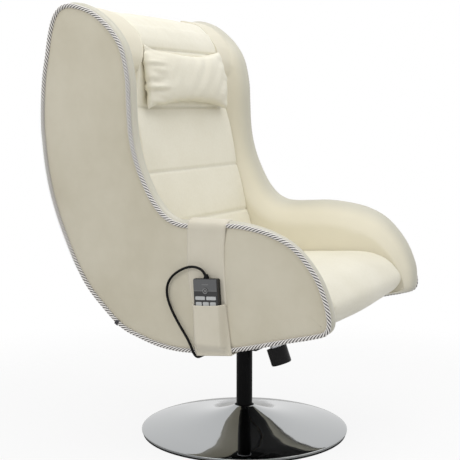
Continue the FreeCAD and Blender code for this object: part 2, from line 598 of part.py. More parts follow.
# keys: (name, y from the middle, z, half width, half height, round)
KEYS = [("power_button", 0, 465, 7.0, 7.0, True), ("key_left", -15.2, 447, 13.2, 4.3, False),
        ("key_right", 15.2, 447, 13.2, 4.3, False), ("course_key_1", -19.6, 431.5, 8.0, 6.0, False),
        ("course_key_2", 0, 431.5, 8.0, 6.0, False), ("course_key_3", 19.6, 431.5, 8.0, 6.0, False)]
KEY_PROUD = 1.2
KEY_DEPTH = 4.0
for name, across, height, half_w, half_h, is_round in KEYS:
    z = height - STRAP_Z
    y = hand_off + across

    def key_shape(grow, x0, x1):
        if is_round:
            return rod(point(-x0, y, z), point(-x1, y, z), half_w + grow)
        body = box(-x1, -x0, y - half_w - grow, y + half_w + grow, z - half_h - grow, z + half_h + grow)
        corner = [e for e in body.Edges if abs(e.tangentAt(e.FirstParameter).x) > 0.9]
        return body.makeFillet(2.2, corner)

    handset_front = handset_front.cut(key_shape(FIT, hand_front_x - 6, hand_front_x + 1))
    save(name, strapped(key_shape(0, hand_front_x - KEY_DEPTH, hand_front_x + KEY_PROUD)))
save("handset_board", strapped(box(-hand_front_x + 7.0, -hand_mid_x, hand_off - 29, hand_off + 29,
                                   hand_low + 9, hand_high - 17)))
gland_x = -(hand_back_x + HAND_T / 2)
GLAND_H = 10.0
CORD_IN = 8.0             # how deep the cord goes into the hand control
gland = Part.makeCone(7.0, 4.6, GLAND_H, point(gland_x, hand_off, hand_high), V(0, 0, 1))
cord_bore = rod(point(gland_x, hand_off, hand_high - CORD_IN), point(gland_x, hand_off, hand_high + 20),
                CORD_R)
save("handset_gland", strapped(gland.cut(cord_bore)))
save("handset_back", strapped(handset_back.cut(cord_bore)))
save("handset_front", strapped(handset_front.cut(cord_bore)))

# pouch on the strap: a shell open at the top
pouch_half = STRAP_HALF - 1.5
pouch_back = STRAP_X + STRAP_T
pouch_front = hand_front_x + KEY_PROUD + FIT
pouch_low = POUCH_LOW - STRAP_Z
pouch_high = POUCH_HIGH - STRAP_Z
pouch = rounded_plate(pouch_half, pouch_low, pouch_high, pouch_back, pouch_front + POUCH_T, 6)
pouch_rim = [e for e in pouch.Edges
             if abs(e.CenterOfMass.x + pouch_front + POUCH_T) < 0.1 and e.CenterOfMass.z < pouch_high - 1]
pouch = pouch.makeFillet(9.0, pouch_rim)
pouch_space = box(-pouch_front, -pouch_back + 1, hand_off - HAND_HALF - 2, hand_off + HAND_HALF + 2,
                  hand_low - FIT, pouch_high + 1)
save("pocket_pouch", strapped(pouch.cut(pouch_space)))

# control cord: out of the gland, round in a loop, down and under the chair
cord_start = strapped(Part.Vertex(gland_x, hand_off, hand_high - CORD_IN)).Point
gland_axis = V(0, math.sin(math.radians(STRAP_LEAN)), math.cos(math.radians(STRAP_LEAN)))
ROUTE = [cord_start, cord_start + gland_axis * 30, point(-364.5, -37, 532), point(-362.5, 4, 518),
         point(-360.5, 36, 490), point(-359.5, 43, 452), point(-359.5, 29, 412), point(-359.5, 5, 367),
         point(-359.5, -19, 327), point(-359.5, -32, 282), point(-316, -34, 280), point(-262, -35, 283),
         point(-256, -36, 328)]


def cord_path(route):
    """Straight runs joined by tangent arcs."""
    edges = []
    start = route[0]
    radii = []
    for before, corner, after in zip(route, route[1:], route[2:]):
        arrive = (corner - before).normalize()
        leave = (after - corner).normalize()
        turn = math.acos(max(-1.0, min(1.0, arrive.dot(leave))))
        reach = 0.45 * min((corner - before).Length, (after - corner).Length)
        radius = reach / math.tan(turn / 2)
        first = corner - arrive * reach
        last = corner + leave * reach
        inward = (leave - arrive).normalize()
        centre = corner + inward * (radius / math.cos(turn / 2))
        middle = centre - inward * radius
        edges.append(Part.makeLine(start, first))
        edges.append(Part.Arc(first, middle, last).toShape())
        start = last
        radii.append(radius)
    edges.append(Part.makeLine(start, route[-1]))
    return Part.Wire(edges), radii


path, radii = cord_path(ROUTE)
ring = Part.Wire(Part.Circle(ROUTE[0], (ROUTE[1] - ROUTE[0]).normalize(), CORD_R).toShape())
cord = path.makePipeShell([ring], True, False)
save("handset_cord", cord)
print("cord length", round(path.Length, 1), "radii", [round(r, 1) for r in radii],
      "volume ratio", round(cord.Volume / (math.pi * CORD_R ** 2 * path.Length), 4))

# grommet where the cord enters the cloth underneath
GROMMET_R = 9.0
GROMMET_Z = (300.0, 312.0)
grommet_at = ROUTE[-2] + (ROUTE[-1] - ROUTE[-2]) * 0.5


def grommet_rod(radius, extra):
    foot = V(grommet_at.x, grommet_at.y, GROMMET_Z[0] - extra)
    return rod(foot, V(foot.x, foot.y, GROMMET_Z[1] + extra), radius)


save("cord_grommet", grommet_rod(GROMMET_R, 0).cut(grommet_rod(CORD_R + 2.2, 1)))
save("underside_cover", underside_cover.cut(grommet_rod(GROMMET_R, 1)))
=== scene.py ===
import bpy
import bmesh
import json
import math
from mathutils import Matrix, Vector, noise
from mathutils.geometry import intersect_point_line


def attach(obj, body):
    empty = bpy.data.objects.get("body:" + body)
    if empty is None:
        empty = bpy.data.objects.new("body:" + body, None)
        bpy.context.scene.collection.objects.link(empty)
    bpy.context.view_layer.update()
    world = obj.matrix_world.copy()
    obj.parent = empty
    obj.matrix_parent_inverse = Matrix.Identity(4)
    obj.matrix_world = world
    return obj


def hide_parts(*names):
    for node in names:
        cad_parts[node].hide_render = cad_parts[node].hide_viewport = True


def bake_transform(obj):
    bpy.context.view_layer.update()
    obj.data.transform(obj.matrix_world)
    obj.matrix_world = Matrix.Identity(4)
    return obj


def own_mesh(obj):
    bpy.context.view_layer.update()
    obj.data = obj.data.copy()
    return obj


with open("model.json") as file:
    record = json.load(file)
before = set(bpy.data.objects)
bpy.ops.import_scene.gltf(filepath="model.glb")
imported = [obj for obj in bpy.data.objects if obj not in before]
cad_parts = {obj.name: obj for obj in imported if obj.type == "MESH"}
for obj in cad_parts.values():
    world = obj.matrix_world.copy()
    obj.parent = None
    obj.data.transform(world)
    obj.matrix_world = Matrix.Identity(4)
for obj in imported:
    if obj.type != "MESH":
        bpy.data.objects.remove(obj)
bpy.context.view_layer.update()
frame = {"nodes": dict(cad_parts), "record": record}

scene = bpy.context.scene
MM = 0.001

# side outline in millimetres: y, z, weight of the padded roll, weight of the fall to the cushions
OUTLINE = [
    (423, 869, 0, 0), (421, 931, 0, 0), (415, 992, 0, 0), (405, 1045, 0, 0), (395, 1097, 0, 0.1),
    (382, 1138, 0.1, 0), (361, 1163, 0.5, 0), (333, 1170, 0.85, 0.1), (301, 1164, 1, 0.3),
    (265, 1150, 1, 0.5), (230, 1125, 1, 0.6), (200, 1095, 1, 0.7), (178, 1061, 1, 0.8),
    (166, 1021, 1, 1), (159, 977, 1, 1), (157, 930, 1, 1), (154, 867, 1, 1), (147, 816, 1, 1),
    (132, 764, 1, 1), (111, 717, 1, 1), (88, 677, 1, 1), (58, 643, 1, 1), (24, 624, 1, 1),
    (-12, 619, 1, 1), (-64, 622, 0.95, 1), (-120, 625, 0.95, 1), (-176, 622, 0.85, 1),
    (-240, 608, 0.72, 1), (-300, 578, 0.6, 0.8), (-352, 520, 0.6, 0.5), (-380, 459, 0.65, 0.3),
    (-390, 410, 0.7, 0.1), (-382, 384, 0.6, 0), (-348, 371, 0.4, 0), (-300, 359, 0.3, 0),
    (-242, 344, 0.25, 0), (-193, 331, 0.15, 0), (-140, 319, 0.05, 0), (-82, 309, 0, 0),
    (-24, 304.5, 0, 0), (23, 304.5, 0, 0), (74, 311, 0, 0), (127, 326, 0, 0), (184, 349, 0, 0),
    (242, 399, 0, 0), (283, 442, 0, 0), (315, 490, 0, 0), (337, 532, 0, 0), (364, 592, 0, 0),
    (382, 638, 0, 0), (400, 696, 0, 0), (413, 761, 0, 0), (420, 823, 0, 0),
]
# half width between the two sides: z, distance from the middle
INSIDE = [(300, 275), (560, 275), (640, 272), (750, 269), (850, 268), (912, 262), (1000, 240), (1065, 215),
          (1105, 212), (1140, 219), (1165, 232), (1200, 236)]
# level that the head wings keep to at the top pad: z, offset from the outline
WING_LEVEL = [(975, -70), (1021, -26), (1045, -17), (1070, -11), (1095, -3), (1125, 3), (1150, 5), (1170, 4)]
# line that the middle of both shells is drawn to: y, z
SPINE = [(-335, 430), (-200, 465), (-50, 470), (100, 500), (200, 600), (270, 750), (290, 900), (300, 1080)]


def between(table, key):
    """Values of a table's row at a key, drawn straight between rows."""
    for low, high in zip(table, table[1:]):
        if key <= high[0] or high is table[-1]:
            t = min(1.0, max(0.0, (key - low[0]) / (high[0] - low[0])))
            return [a + (b - a) * t for a, b in zip(low[1:], high[1:])]


def ease(t):
    """A smooth step from 0 to 1."""
    t = min(1.0, max(0.0, t))
    return t * t * (3 - 2 * t)


def rounded(edge, radius):
    """How far a quarter-round of a radius has dropped at a distance from its side."""
    near = 1 - min(1.0, edge / radius)
    return radius * (1 - math.sqrt(max(0.0, 1 - near * near)))


def lump(x, y, z):
    return noise.noise(Vector((x, y, z)))


def turned(tangent):
    """The direction at a right angle to a tangent, in the plane of the sides."""
    return Vector((0, tangent.z, -tangent.y))


def rotated(x, y, angle):
    return (x * math.cos(angle) - y * math.sin(angle), x * math.sin(angle) + y * math.cos(angle))


def points_of(curve):
    """The points of a curve in its fine steps. The curve is deleted."""
    holder = bpy.data.objects.new("line", curve)
    mesh = bpy.data.meshes.new_from_object(holder)
    line = [vertex.co.copy() for vertex in mesh.vertices]
    bpy.data.meshes.remove(mesh)
    bpy.data.objects.remove(holder)
    bpy.data.curves.remove(curve)
    return line


def smooth_line(points, steps, closed=False):
    """Points of a Bezier line through the given points."""
    curve = bpy.data.curves.new("line", "CURVE")
    curve.dimensions = "3D"
    spline = curve.splines.new("BEZIER")
    count = len(points)
    spline.bezier_points.add(count - 1)
    for index, place in enumerate(points):
        before = points[index - 1] if closed or index else place
        after = points[(index + 1) % count] if closed or index < count - 1 else place
        reach = (Vector(after) - Vector(before)) / 6
        handle = spline.bezier_points[index]
        handle.handle_left_type = "FREE"
        handle.handle_right_type = "FREE"
        handle.co = place
        handle.handle_left = Vector(place) - reach
        handle.handle_right = Vector(place) + reach
    spline.use_cyclic_u = closed
    spline.resolution_u = steps
    return points_of(curve)


def side_line(table, steps, closed=False):
    """The same through rows of y and z in millimetres, in the chair's middle plane."""
    return smooth_line([(0, y * MM, z * MM) for y, z in table], steps, closed)


# shader nodes and finishes
class Reading:
    """A shader output that plain arithmetic works on."""

    def __init__(self, nodes, socket):
        self.nodes = nodes
        self.socket = socket

    def work(self, operation, *values):
        return self.nodes.add("Math", {"operation": operation}, values)

    def __add__(self, other):
        return self.work("ADD", self, other)

    def __sub__(self, other):
        return self.work("SUBTRACT", self, other)

    def __rsub__(self, other):
        return self.work("SUBTRACT", other, self)

    def __mul__(self, other):
        return self.work("MULTIPLY", self, other)

    __radd__ = __add__
    __rmul__ = __mul__

    def size(self):
        return self.work("ABSOLUTE", self)

    def root(self):
        return self.work("SQRT", self)

    def larger(self, other):
        return self.work("MAXIMUM", self, other)

    def above(self, edge, soft):
        """0 below the edge and 1 above it, turning over the soft width."""
        values = [self, edge - soft, edge + soft, 0.0, 1.0]
        return self.nodes.add("MapRange", {"interpolation_type": "SMOOTHSTEP"}, values)

    def below(self, edge, soft):
        return 1 - self.above(edge, soft)


class Nodes:
    """A tree of shader nodes."""

    def __init__(self, tree):
        self.tree = tree

    def feed(self, socket, value):
        """Link a reading to a socket, or set its plain value."""
        if isinstance(value, Reading):
            self.tree.links.new(value.socket, socket)
        else:
            socket.default_value = value

    def add(self, kind, settings, values, output=0):
        """Any node: its kind, its settings, and the values or readings of its sockets."""
        node = self.tree.nodes.new("ShaderNode" + kind)
        for key, value in settings.items():
            setattr(node, key, value)
        pairs = values.items() if isinstance(values, dict) else enumerate(values)
        for key, value in pairs:
            self.feed(node.inputs[key], value)
        return Reading(self, node.outputs[output])

    def ray(self, kind):
        return self.add("LightPath", {}, {}, kind)

    def mixed(self, factor, first, second):
        return self.add("MixShader", {}, [factor, first, second])

    def show(self, surface, output):
        self.feed(self.tree.nodes[output].inputs["Surface"], surface)


class Finish(Nodes):
    """A material with its principled shader."""

    def __init__(self, name, colour, roughness, metallic=0.0, **rest):
        self.material = bpy.data.materials.new(name)
        self.material.use_nodes = True
        super().__init__(self.material.node_tree)
        self.shader = self.tree.nodes["Principled BSDF"]
        self.material.diffuse_color = colour
        self.put("Base Color", colour)
        self.put("Roughness", roughness)
        self.put("Metallic", metallic)
        for key, value in rest.items():
            self.put(key.replace("_", " "), value)

    def put(self, name, value):
        self.feed(self.shader.inputs[name], value)

    def place(self):
        return self.add("TexCoord", {}, {}, "Object")

    def axis(self, name):
        return self.add("SeparateXYZ", {}, [self.place()], name)

    def speckle(self, scale, detail=3.0, rough=0.5):
        values = {"Vector": self.place(), "Scale": scale, "Detail": detail, "Roughness": rough}
        return self.add("TexNoise", {}, values, "Fac")

    def stretched(self, scales, detail):
        """Noise with a different scale along each axis."""
        place = self.add("Mapping", {}, {"Vector": self.place(), "Scale": scales})
        return self.add("TexNoise", {}, {"Vector": place, "Scale": 1.0, "Detail": detail}, "Fac")

    def waves(self, direction, scale, distortion=0.0):
        values = {"Vector": self.place(), "Scale": scale, "Distortion": distortion}
        return self.add("TexWave", {"bands_direction": direction}, values, "Fac")

    def pebbles(self, scale):
        values = {"Vector": self.place(), "Scale": scale}
        return self.add("TexVoronoi", {"feature": "DISTANCE_TO_EDGE"}, values, "Distance")

    def blend(self, factor, first, second):
        """A mix of two colours, whose sockets the node numbers 0 for the factor, 6 and 7."""
        return self.add("Mix", {"data_type": "RGBA"}, {0: factor, 6: first, 7: second}, 2)

    def bump(self, height, distance, strength, normal=None):
        values = {"Strength": strength, "Distance": distance, "Height": height}
        if normal:
            values["Normal"] = normal
        return self.add("Bump", {}, values, "Normal")


def linear(value):
    """A channel from 0 to 255 as linear light."""
    value = value / 255.0
    return value / 12.92 if value <= 0.04045 else ((value + 0.055) / 1.055) ** 2.4


def shade(red, green, blue):
    return (linear(red), linear(green), linear(blue), 1.0)


def grained(name, colour, roughness):
    """Leather with a fine pebbled grain and soft creases, and the clouds for its colour."""
    finish = Finish(name, colour, roughness, Sheen_Weight=0.05, Sheen_Roughness=0.5)
    cloud = finish.speckle(7.0, 4.0)
    crease = finish.bump(finish.speckle(28.0, 6.0, 0.62), 0.0012, 0.35)
    finish.put("Roughness", roughness - 0.06 + cloud * 0.12)
    finish.put("Normal", finish.bump(finish.pebbles(700.0), 0.00022, 0.6, crease))
    return finish, cloud


def leather(name, colour, darker, roughness):
    """Smooth upholstery leather of a faint cloudy colour."""
    finish, cloud = grained(name, colour, roughness)
    fine = finish.speckle(140.0, 2.0)
    finish.put("Base Color", finish.blend((cloud * 0.7 + fine * 0.3).above(0.5, 0.28), darker, colour))
    return finish.material


# square of the distance from the middle inside which the leather is painted paler as painted light, and how
# softly it turns
PAINTED_LIGHT_TURN_SQUARED = (0.0925, 0.0085)


def leather_painted_paler_inside(name, edge, inside, darker, roughness):
    """One leather over the padded edge and the inside of wings and arms, with the inside painted paler as
    painted light.
    """
    finish, cloud = grained(name, edge, roughness)
    across = finish.axis("X")
    # painted light: the paler inside colour within the turn, the edge colour outside it
    tone = finish.blend((across * across).below(*PAINTED_LIGHT_TURN_SQUARED), edge, inside)
    finish.put("Base Color", finish.blend(cloud.above(0.5, 0.28) * 0.06, tone, darker))
    return finish.material


def suede(name, colour, darker, paler):
    """Brushed suede-like cloth with a short nap in soft patches."""
    finish = Finish(name, colour, 0.9, Sheen_Weight=0.35, Sheen_Roughness=0.45)
    patch = finish.speckle(5.0, 5.0, 0.6)
    nap = finish.speckle(420.0, 2.0, 0.7)
    tone = finish.blend(patch.above(0.5, 0.3), darker, paler)
    finish.put("Base Color", finish.blend(nap * 0.35, tone, colour))
    finish.put("Normal", finish.bump(nap, 0.0004, 0.5, finish.bump(patch, 0.002, 0.25)))
    return finish.material


def plain_finish(name, colour, roughness, scale, depth, change=0.08, metallic=0.0, **rest):
    """Painted, moulded or machined surface with fine unevenness in its gloss."""
    finish = Finish(name, colour, roughness, metallic, **rest)
    speck = finish.speckle(scale)
    broad = finish.speckle(12.0)
    finish.put("Roughness", roughness - change / 2 + broad * change)
    darker = tuple(channel * 0.8 for channel in colour[:3]) + (1.0,)
    finish.put("Base Color", finish.blend(broad, darker, colour))
    finish.put("Normal", finish.bump(speck, depth, 0.5))
    return finish.material


def brushed(name, colour, roughness):
    """Turned or drawn steel with fine lines across its length."""
    finish = Finish(name, colour, roughness, 1.0)
    lines = finish.stretched((40.0, 40.0, 2200.0), 2.0)
    finish.put("Roughness", roughness - 0.07 + lines * 0.14)
    finish.put("Normal", finish.bump(lines, 0.00004, 0.4))
    return finish.material


def plywood(name, colour, darker, paler):
    """Layers that show at the edge, and a fibre along the board."""
    finish = Finish(name, colour, 0.6)
    layers = finish.waves("Z", 150.0, 0.4)
    fibre = finish.stretched((6.0, 90.0, 90.0), 4.0)
    finish.put("Base Color", finish.blend(fibre * 0.6 + layers * 0.3, darker, paler))
    finish.put("Normal", finish.bump(fibre, 0.0003, 0.5))
    return finish.material


def woven(name, colour, paler):
    """Plain woven dust cloth."""
    finish = Finish(name, colour, 0.95, Sheen_Weight=0.2)
    weave = finish.waves("X", 420.0) * finish.waves("Y", 420.0)
    finish.put("Base Color", finish.blend(weave, colour, paler))
    finish.put("Normal", finish.bump(weave, 0.0003, 0.6))
    return finish.material


def chromed(name, colour):
    """Polished chrome, with a faint unevenness in its gloss."""
    finish = Finish(name, colour, 0.045, 1.0)
    finish.put("Roughness", 0.035 + finish.speckle(30.0) * 0.03)
    return finish.material


def rope_thread(name, groove, thin, full):
    """Silver-grey strands, with painted shade nearly black in the grooves between them."""
    finish = Finish(name, shade(196, 195, 200), 0.4, Sheen_Weight=0.3, Sheen_Roughness=0.3)
    fibre = finish.speckle(900.0)
    crest = finish.add("Attribute", {"attribute_name": "lobe"}, {}, "Fac")
    strand = finish.blend(fibre.above(0.5, 0.25), thin, full)
    # painted shade: the groove colour where the strands lie low, the strand colour on their crests
    finish.put("Base Color", finish.blend(crest.above(0.62, 0.2), groove, strand))
    finish.put("Normal", finish.bump(fibre, 0.0004, 0.7))
    return finish.material


# face of the hand control in metres: y and z of its middle, half its width and height, its marks
HAND_LEAN = math.radians(3.5)
HAND_MIDDLE = (-0.0795, 0.413)
HAND_HALF = (0.0318, 0.0806)
POWER_UP = 0.052  # power key above the middle
STRIPE_UP = 0.0155  # short stripe above the power key
STRIPE_HALF = 0.009
SYMBOL_R = 0.0022  # rings on the power key
RING_R = 0.0060


def face_places(finish):
    """Distances across and up the hand control's face from its middle, in metres."""
    y = finish.axis("Y") - HAND_MIDDLE[0]
    z = finish.axis("Z") - HAND_MIDDLE[1]
    return rotated(y, z, HAND_LEAN)


def control_face(name):
    """Dark face, paler above, with a line through the power key and a short stripe above it."""
    finish = Finish(name, shade(60, 61, 62), 0.42)
    across, up = face_places(finish)
    inside = across.size().below(HAND_HALF[0], 0.0006) * up.size().below(HAND_HALF[1], 0.0006)
    line = (up - POWER_UP).size().below(0.0005, 0.0003)
    stripe = (up - POWER_UP - STRIPE_UP).size().below(0.0006, 0.0003)
    stripe = stripe * across.size().below(STRIPE_HALF, 0.0006)
    ground = finish.blend((up - POWER_UP).above(0.0, 0.0008), shade(38, 38, 39), shade(86, 87, 88))
    marked = finish.blend((line + stripe) * 0.8, ground, shade(140, 140, 140))
    finish.put("Base Color", finish.blend(inside, shade(20, 20, 21), marked))
    finish.put("Roughness", 0.36 + finish.speckle(600.0) * 0.12)
    finish.put("Normal", finish.bump(finish.speckle(1500.0), 0.00004, 0.5))
    return finish.material


def power_face(name):
    """Black key with a ring round it and a smaller one in its middle."""
    finish = Finish(name, shade(24, 24, 25), 0.4)
    across, up = face_places(finish)
    from_key = (across * across + (up - POWER_UP) * (up - POWER_UP)).root()
    symbol = (from_key - SYMBOL_R).size().below(0.0006, 0.0003)
    ring = (from_key - RING_R).size().below(0.0007, 0.0003)
    finish.put("Base Color", finish.blend(symbol + ring, shade(20, 20, 21), shade(150, 150, 150)))
    finish.put("Normal", finish.bump(finish.speckle(1500.0), 0.00004, 0.5))
    return finish.material


# cream leather: edge colour, inside colour painted paler as painted light, darker cloud colour, roughness
cream_leather = leather_painted_paler_inside("cream_leather", shade(200, 197, 182), shade(226, 220, 200),
                              shade(120, 112, 90), 0.46)
seat_leather = leather("seat_leather", shade(236, 232, 216), shade(227, 222, 203), 0.44)
side_suede = suede("side_suede", shade(204, 198, 179), shade(195, 188, 167), shade(212, 206, 188))
strap_suede = suede("strap_suede", shade(210, 204, 187), shade(202, 195, 176), shade(217, 211, 195))
# rope: its first colour is painted shade for the grooves between strands
silver_thread = rope_thread("silver_thread", shade(16, 12, 15), shade(214, 210, 206), shade(248, 245, 241))
dark_thread = plain_finish("dark_thread", shade(54, 52, 58), 0.7, 900.0, 0.0003)
cord_rubber = plain_finish("cord_rubber", shade(9, 9, 9), 0.5, 900.0, 0.00004, Specular_IOR_Level=0.12)
dust_cloth = woven("dust_cloth", shade(18, 18, 18), shade(36, 36, 37))
chrome = chromed("chrome", shade(172, 174, 175))

# finishes by slot in the part's record, and of the pieces with one of their own
FINISHES = {
    "black_steel": plain_finish("black_paint", shade(10, 10, 11), 0.38, 500.0, 0.00012, change=0.1,
                                Specular_IOR_Level=0.08),
    "black_plastic": plain_finish("black_plastic", shade(17, 17, 18), 0.42, 900.0, 0.00008,
                                  Specular_IOR_Level=0.2),
    "grey_plastic": plain_finish("key_plastic", shade(196, 198, 198), 0.55, 900.0, 0.00003),
    "rubber": plain_finish("black_rubber", shade(12, 12, 12), 0.7, 700.0, 0.0002, Specular_IOR_Level=0.15),
    "iron": plain_finish("cast_iron", shade(48, 48, 50), 0.7, 90.0, 0.0008, metallic=0.6),
    "bright_steel": brushed("bright_steel", shade(196, 197, 200), 0.3),
    "motor_case": brushed("motor_case", shade(170, 172, 176), 0.42),
    "plywood": plywood("board_wood", shade(176, 140, 98), shade(148, 112, 74), shade(190, 156, 112)),
    "side_cover": side_suede, "cushion_cover": seat_leather, "strap_leather": strap_suede,
    "piping_cord": silver_thread, "lining": dust_cloth, "chrome": chrome,
}
OWN = {"handset_front": control_face("handset_face"), "power_button": power_face("power_face")}


# helpers for pieces
def mesh_of(bm, name):
    """Make a bmesh a mesh and free it."""
    mesh = bpy.data.meshes.new(name)
    bm.to_mesh(mesh)
    bm.free()
    return mesh


def added(name, data):
    thing = bpy.data.objects.new(name, data)
    scene.collection.objects.link(thing)
    return thing


def finish_piece(name, bm, material, body, replaces=(), second=None):
    """Make a bmesh into a finished piece that rides on its body, or on none yet."""
    bmesh.ops.recalc_face_normals(bm, faces=bm.faces)
    mesh = mesh_of(bm, name)
    mesh.materials.append(material)
    if second:
        mesh.materials.append(second)
    mesh.shade_smooth()
    piece = added(name, mesh)
    if body:
        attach(piece, body)
    if replaces:
        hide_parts(*replaces)
    return piece


def among(made, kind=bmesh.types.BMVert):
    """The vertices, or another kind, among what a bmesh operator made."""
    return [item for item in made["geom"] if isinstance(item, kind)]


def ring_edges(bm, ring):
    return [bm.edges.get((ring[i - 1], ring[i])) for i in range(len(ring))]


def grown(bm, ring, places):
    """Extrude a closed ring of vertices to new places and return the new ring."""
    new = set(among(bmesh.ops.extrude_edge_only(bm, edges=ring_edges(bm, ring))))
    next_ring = []
    for vertex, place in zip(ring, places):
        fresh = next(edge.other_vert(vertex) for edge in vertex.link_edges if edge.other_vert(vertex) in new)
        fresh.co = place
        next_ring.append(fresh)
    return next_ring


def first_ring(bm, line):
    """The closed ring that the rest of a shell is extruded from."""
    ring = [bm.verts.new(place) for place in line]
    for i in range(len(ring)):
        bm.edges.new((ring[i - 1], ring[i]))
    return ring


def close(bm, ring):
    bmesh.ops.holes_fill(bm, edges=ring_edges(bm, ring), sides=0)


def open_edges(bm):
    return [edge for edge in bm.edges if edge.is_boundary]


def fill_open(bm):
    bmesh.ops.holes_fill(bm, edges=open_edges(bm), sides=0)


def sheet_grid(columns, rows):
    """A flat grid, and each of its points with its place across, from -1 to 1, and its row."""
    bm = bmesh.new()
    bmesh.ops.create_grid(bm, x_segments=columns, y_segments=rows - 1, size=1.0)
    return bm, [(vertex, vertex.co.x, round((vertex.co.y + 1) / 2 * (rows - 1))) for vertex in bm.verts]


def face_away(bm, centre):
    """Turn the faces of an open sheet away from a point behind it."""
    bmesh.ops.recalc_face_normals(bm, faces=bm.faces)
    if sum(face.normal.dot(face.calc_center_median() - centre) for face in bm.faces) < 0:
        bmesh.ops.reverse_faces(bm, faces=bm.faces)


def along(line, row):
    """Direction of a line of points at one of them."""
    return (line[min(len(line) - 1, row + 1)] - line[max(0, row - 1)]).normalized()


def outward(line, row, centre):
    """Direction out of a closed form whose outline runs along a line of points."""
    out = turned(along(line, row))
    return out if out.dot(line[row] - centre) >= 0 else -out


# the side's outline in fine steps, and what goes with each of its points
FINE = 6
rim = side_line([row[:2] for row in OUTLINE], FINE, True)


def rim_directions():
    count = len(rim)
    outs = [turned((rim[(i + 1) % count] - rim[i - 1]).normalized()) for i in range(count)]
    return outs if outs[0].y >= 0 else [-out for out in outs]


def rim_weights(column):
    """A weight from the outline's table in the same fine steps."""
    weights = []
    for index in range(len(rim)):
        before = OUTLINE[index // FINE][column]
        after = OUTLINE[(index // FINE + 1) % len(OUTLINE)][column]
        share = index % FINE / FINE
        weights.append(before + (after - before) * share)
    return weights


def nearest_spine(place):
    best = None
    for (y0, z0), (y1, z1) in zip(SPINE, SPINE[1:]):
        a = Vector((0, y0 * MM, z0 * MM))
        b = Vector((0, y1 * MM, z1 * MM))
        hit, t = intersect_point_line(place, a, b)
        hit = a if t < 0 else b if t > 1 else hit
        gap = (hit - place).length
        if best is None or gap < best[0]:
            best = (gap, hit)
    return best[1]


rim_out = rim_directions()
rim_roll = rim_weights(2)
rim_fall = rim_weights(3)
spine_points = [nearest_spine(place) for place in rim]

# side shells in millimetres: distance from the chair's middle, offset from the outline
SEAM_AT = (345.5, -4.5)
# outside panel: drawn in under the piping, then softly full over a share of the way to the spine
PANEL_EDGE = [(347.0, -8.0), (348.4, -15.0), (349.2, -24.0)]
PANEL_MIDDLE = [(0.25, 350.0), (0.5, 350.4), (0.72, 350.6), (0.9, 350.6)]
# padded edge, from the seam inwards: distance from the middle, offset on the roll, offset with no roll,
# further offset where the wing falls back to the cushions
EDGE_ROWS = [(344.5, 0.5, -4.0, 0), (343.0, 5.0, -4.5, 0), (339.5, 9.0, -5.5, 0), (334.0, 11.6, -6.0, 0),
             (327.0, 12.2, -7.0, -0.5), (319.0, 11.0, -7.0, -2), (311.5, 8.0, -7.0, -4.5),
             (304.0, 4.0, -7.0, -9), (297.0, -0.5, -7.0, -14.5), (290.0, -4.0, -7.0, -21.5)]
# wall inside it: share of the way to the inside, offset on the roll, further offset as above
WALL_ROWS = [(0.25, -6.0, -27), (0.5, -8.0, -33), (0.75, -10.0, -40), (0.92, -11.5, -47), (1.0, -12.0, -55),
             (1.0, -12.0, -66)]
ROLL_END = EDGE_ROWS[-1][0]
PLAIN_END = EDGE_ROWS[-1][2]
WING_X = 320  # the wings keep to their level inside this distance from the middle,
WING_Y = 350  # in front of this place,
WING_ROLL = 0.8  # where the roll is fuller than this


def arm_front(y, z):
    """0 behind the front of the arm or below it, and 1 on it, at a place in millimetres."""
    return ease((-140 - y) / 110) * ease((z - 400) / 60)


def rim_row(sign, x, offset):
    """Places round the outline at a distance from the middle, offset from the outline."""
    return [Vector((sign * x * MM, p.y, p.z)) + out * (offset * MM) for p, out in zip(rim, rim_out)]


def spine_row(places, share):
    """Places a share of the way from where they are to the spine."""
    return [here.lerp(Vector((here.x, goal.y, goal.z)), share) for here, goal in zip(places, spine_points)]


def padded_row(sign, x, share, rolled, plain, fallen):
    """Places of a row of the padded edge or, with no x but a share, of the wall inside it."""
    places = []
    for p, out, roll, fall in zip(rim, rim_out, rim_roll, rim_fall):
        if sign > 0:
            roll += (1 - roll) * arm_front(p.y / MM, p.z / MM)
        offset = rolled * roll + plain * (1 - roll) + fallen * fall
        if roll > WING_ROLL and p.y < WING_Y * MM and (x is None or x < WING_X):
            offset = max(offset, between(WING_LEVEL, p.z / MM)[0])
        row_x = x
        if x is None:
            inner = between(INSIDE, (p.z + out.z * offset * MM) / MM)[0]
            row_x = ROLL_END + (inner - ROLL_END) * share
        places.append(Vector((sign * row_x * MM, p.y, p.z)) + out * (offset * MM))
    return places


def side_shell(name, sign, node):
    """Suede outside panel, padded leather edge and inside of wing and arm, extruded from the seam."""
    bm = bmesh.new()
    seam = first_ring(bm, rim_row(sign, *SEAM_AT))
    ring = seam
    for x, offset in PANEL_EDGE:
        ring = grown(bm, ring, rim_row(sign, x, offset))
    base = [vertex.co.copy() for vertex in ring]
    for share, x in PANEL_MIDDLE:
        places = spine_row(base, share)
        for place in places:
            place.x = sign * x * MM
        ring = grown(bm, ring, places)
    close(bm, ring)
    outside = len(bm.faces)
    ring = seam
    for x, rolled, plain, fallen in EDGE_ROWS:
        ring = grown(bm, ring, padded_row(sign, x, 0.0, rolled, plain, fallen))
    for share, rolled, fallen in WALL_ROWS:
        ring = grown(bm, ring, padded_row(sign, None, share, rolled, PLAIN_END, fallen))
    base = [vertex.co.copy() for vertex in ring]
    for share in (0.15, 0.4, 0.7, 0.9):
        ring = grown(bm, ring, spine_row(base, share))
    close(bm, ring)
    for index, face in enumerate(bm.faces):
        face.material_index = int(index < outside)
    for vertex in bm.verts:
        if abs(vertex.co.x) < 342 * MM:
            vertex.co.x += noise.noise(vertex.co * 9.0) * 0.0008
    return finish_piece(name, bm, cream_leather, "seat", [node], second=side_suede)


side_shell("side_shell_right", -1, "side_panel_right")
side_shell("side_shell_left", 1, "side_panel_left")


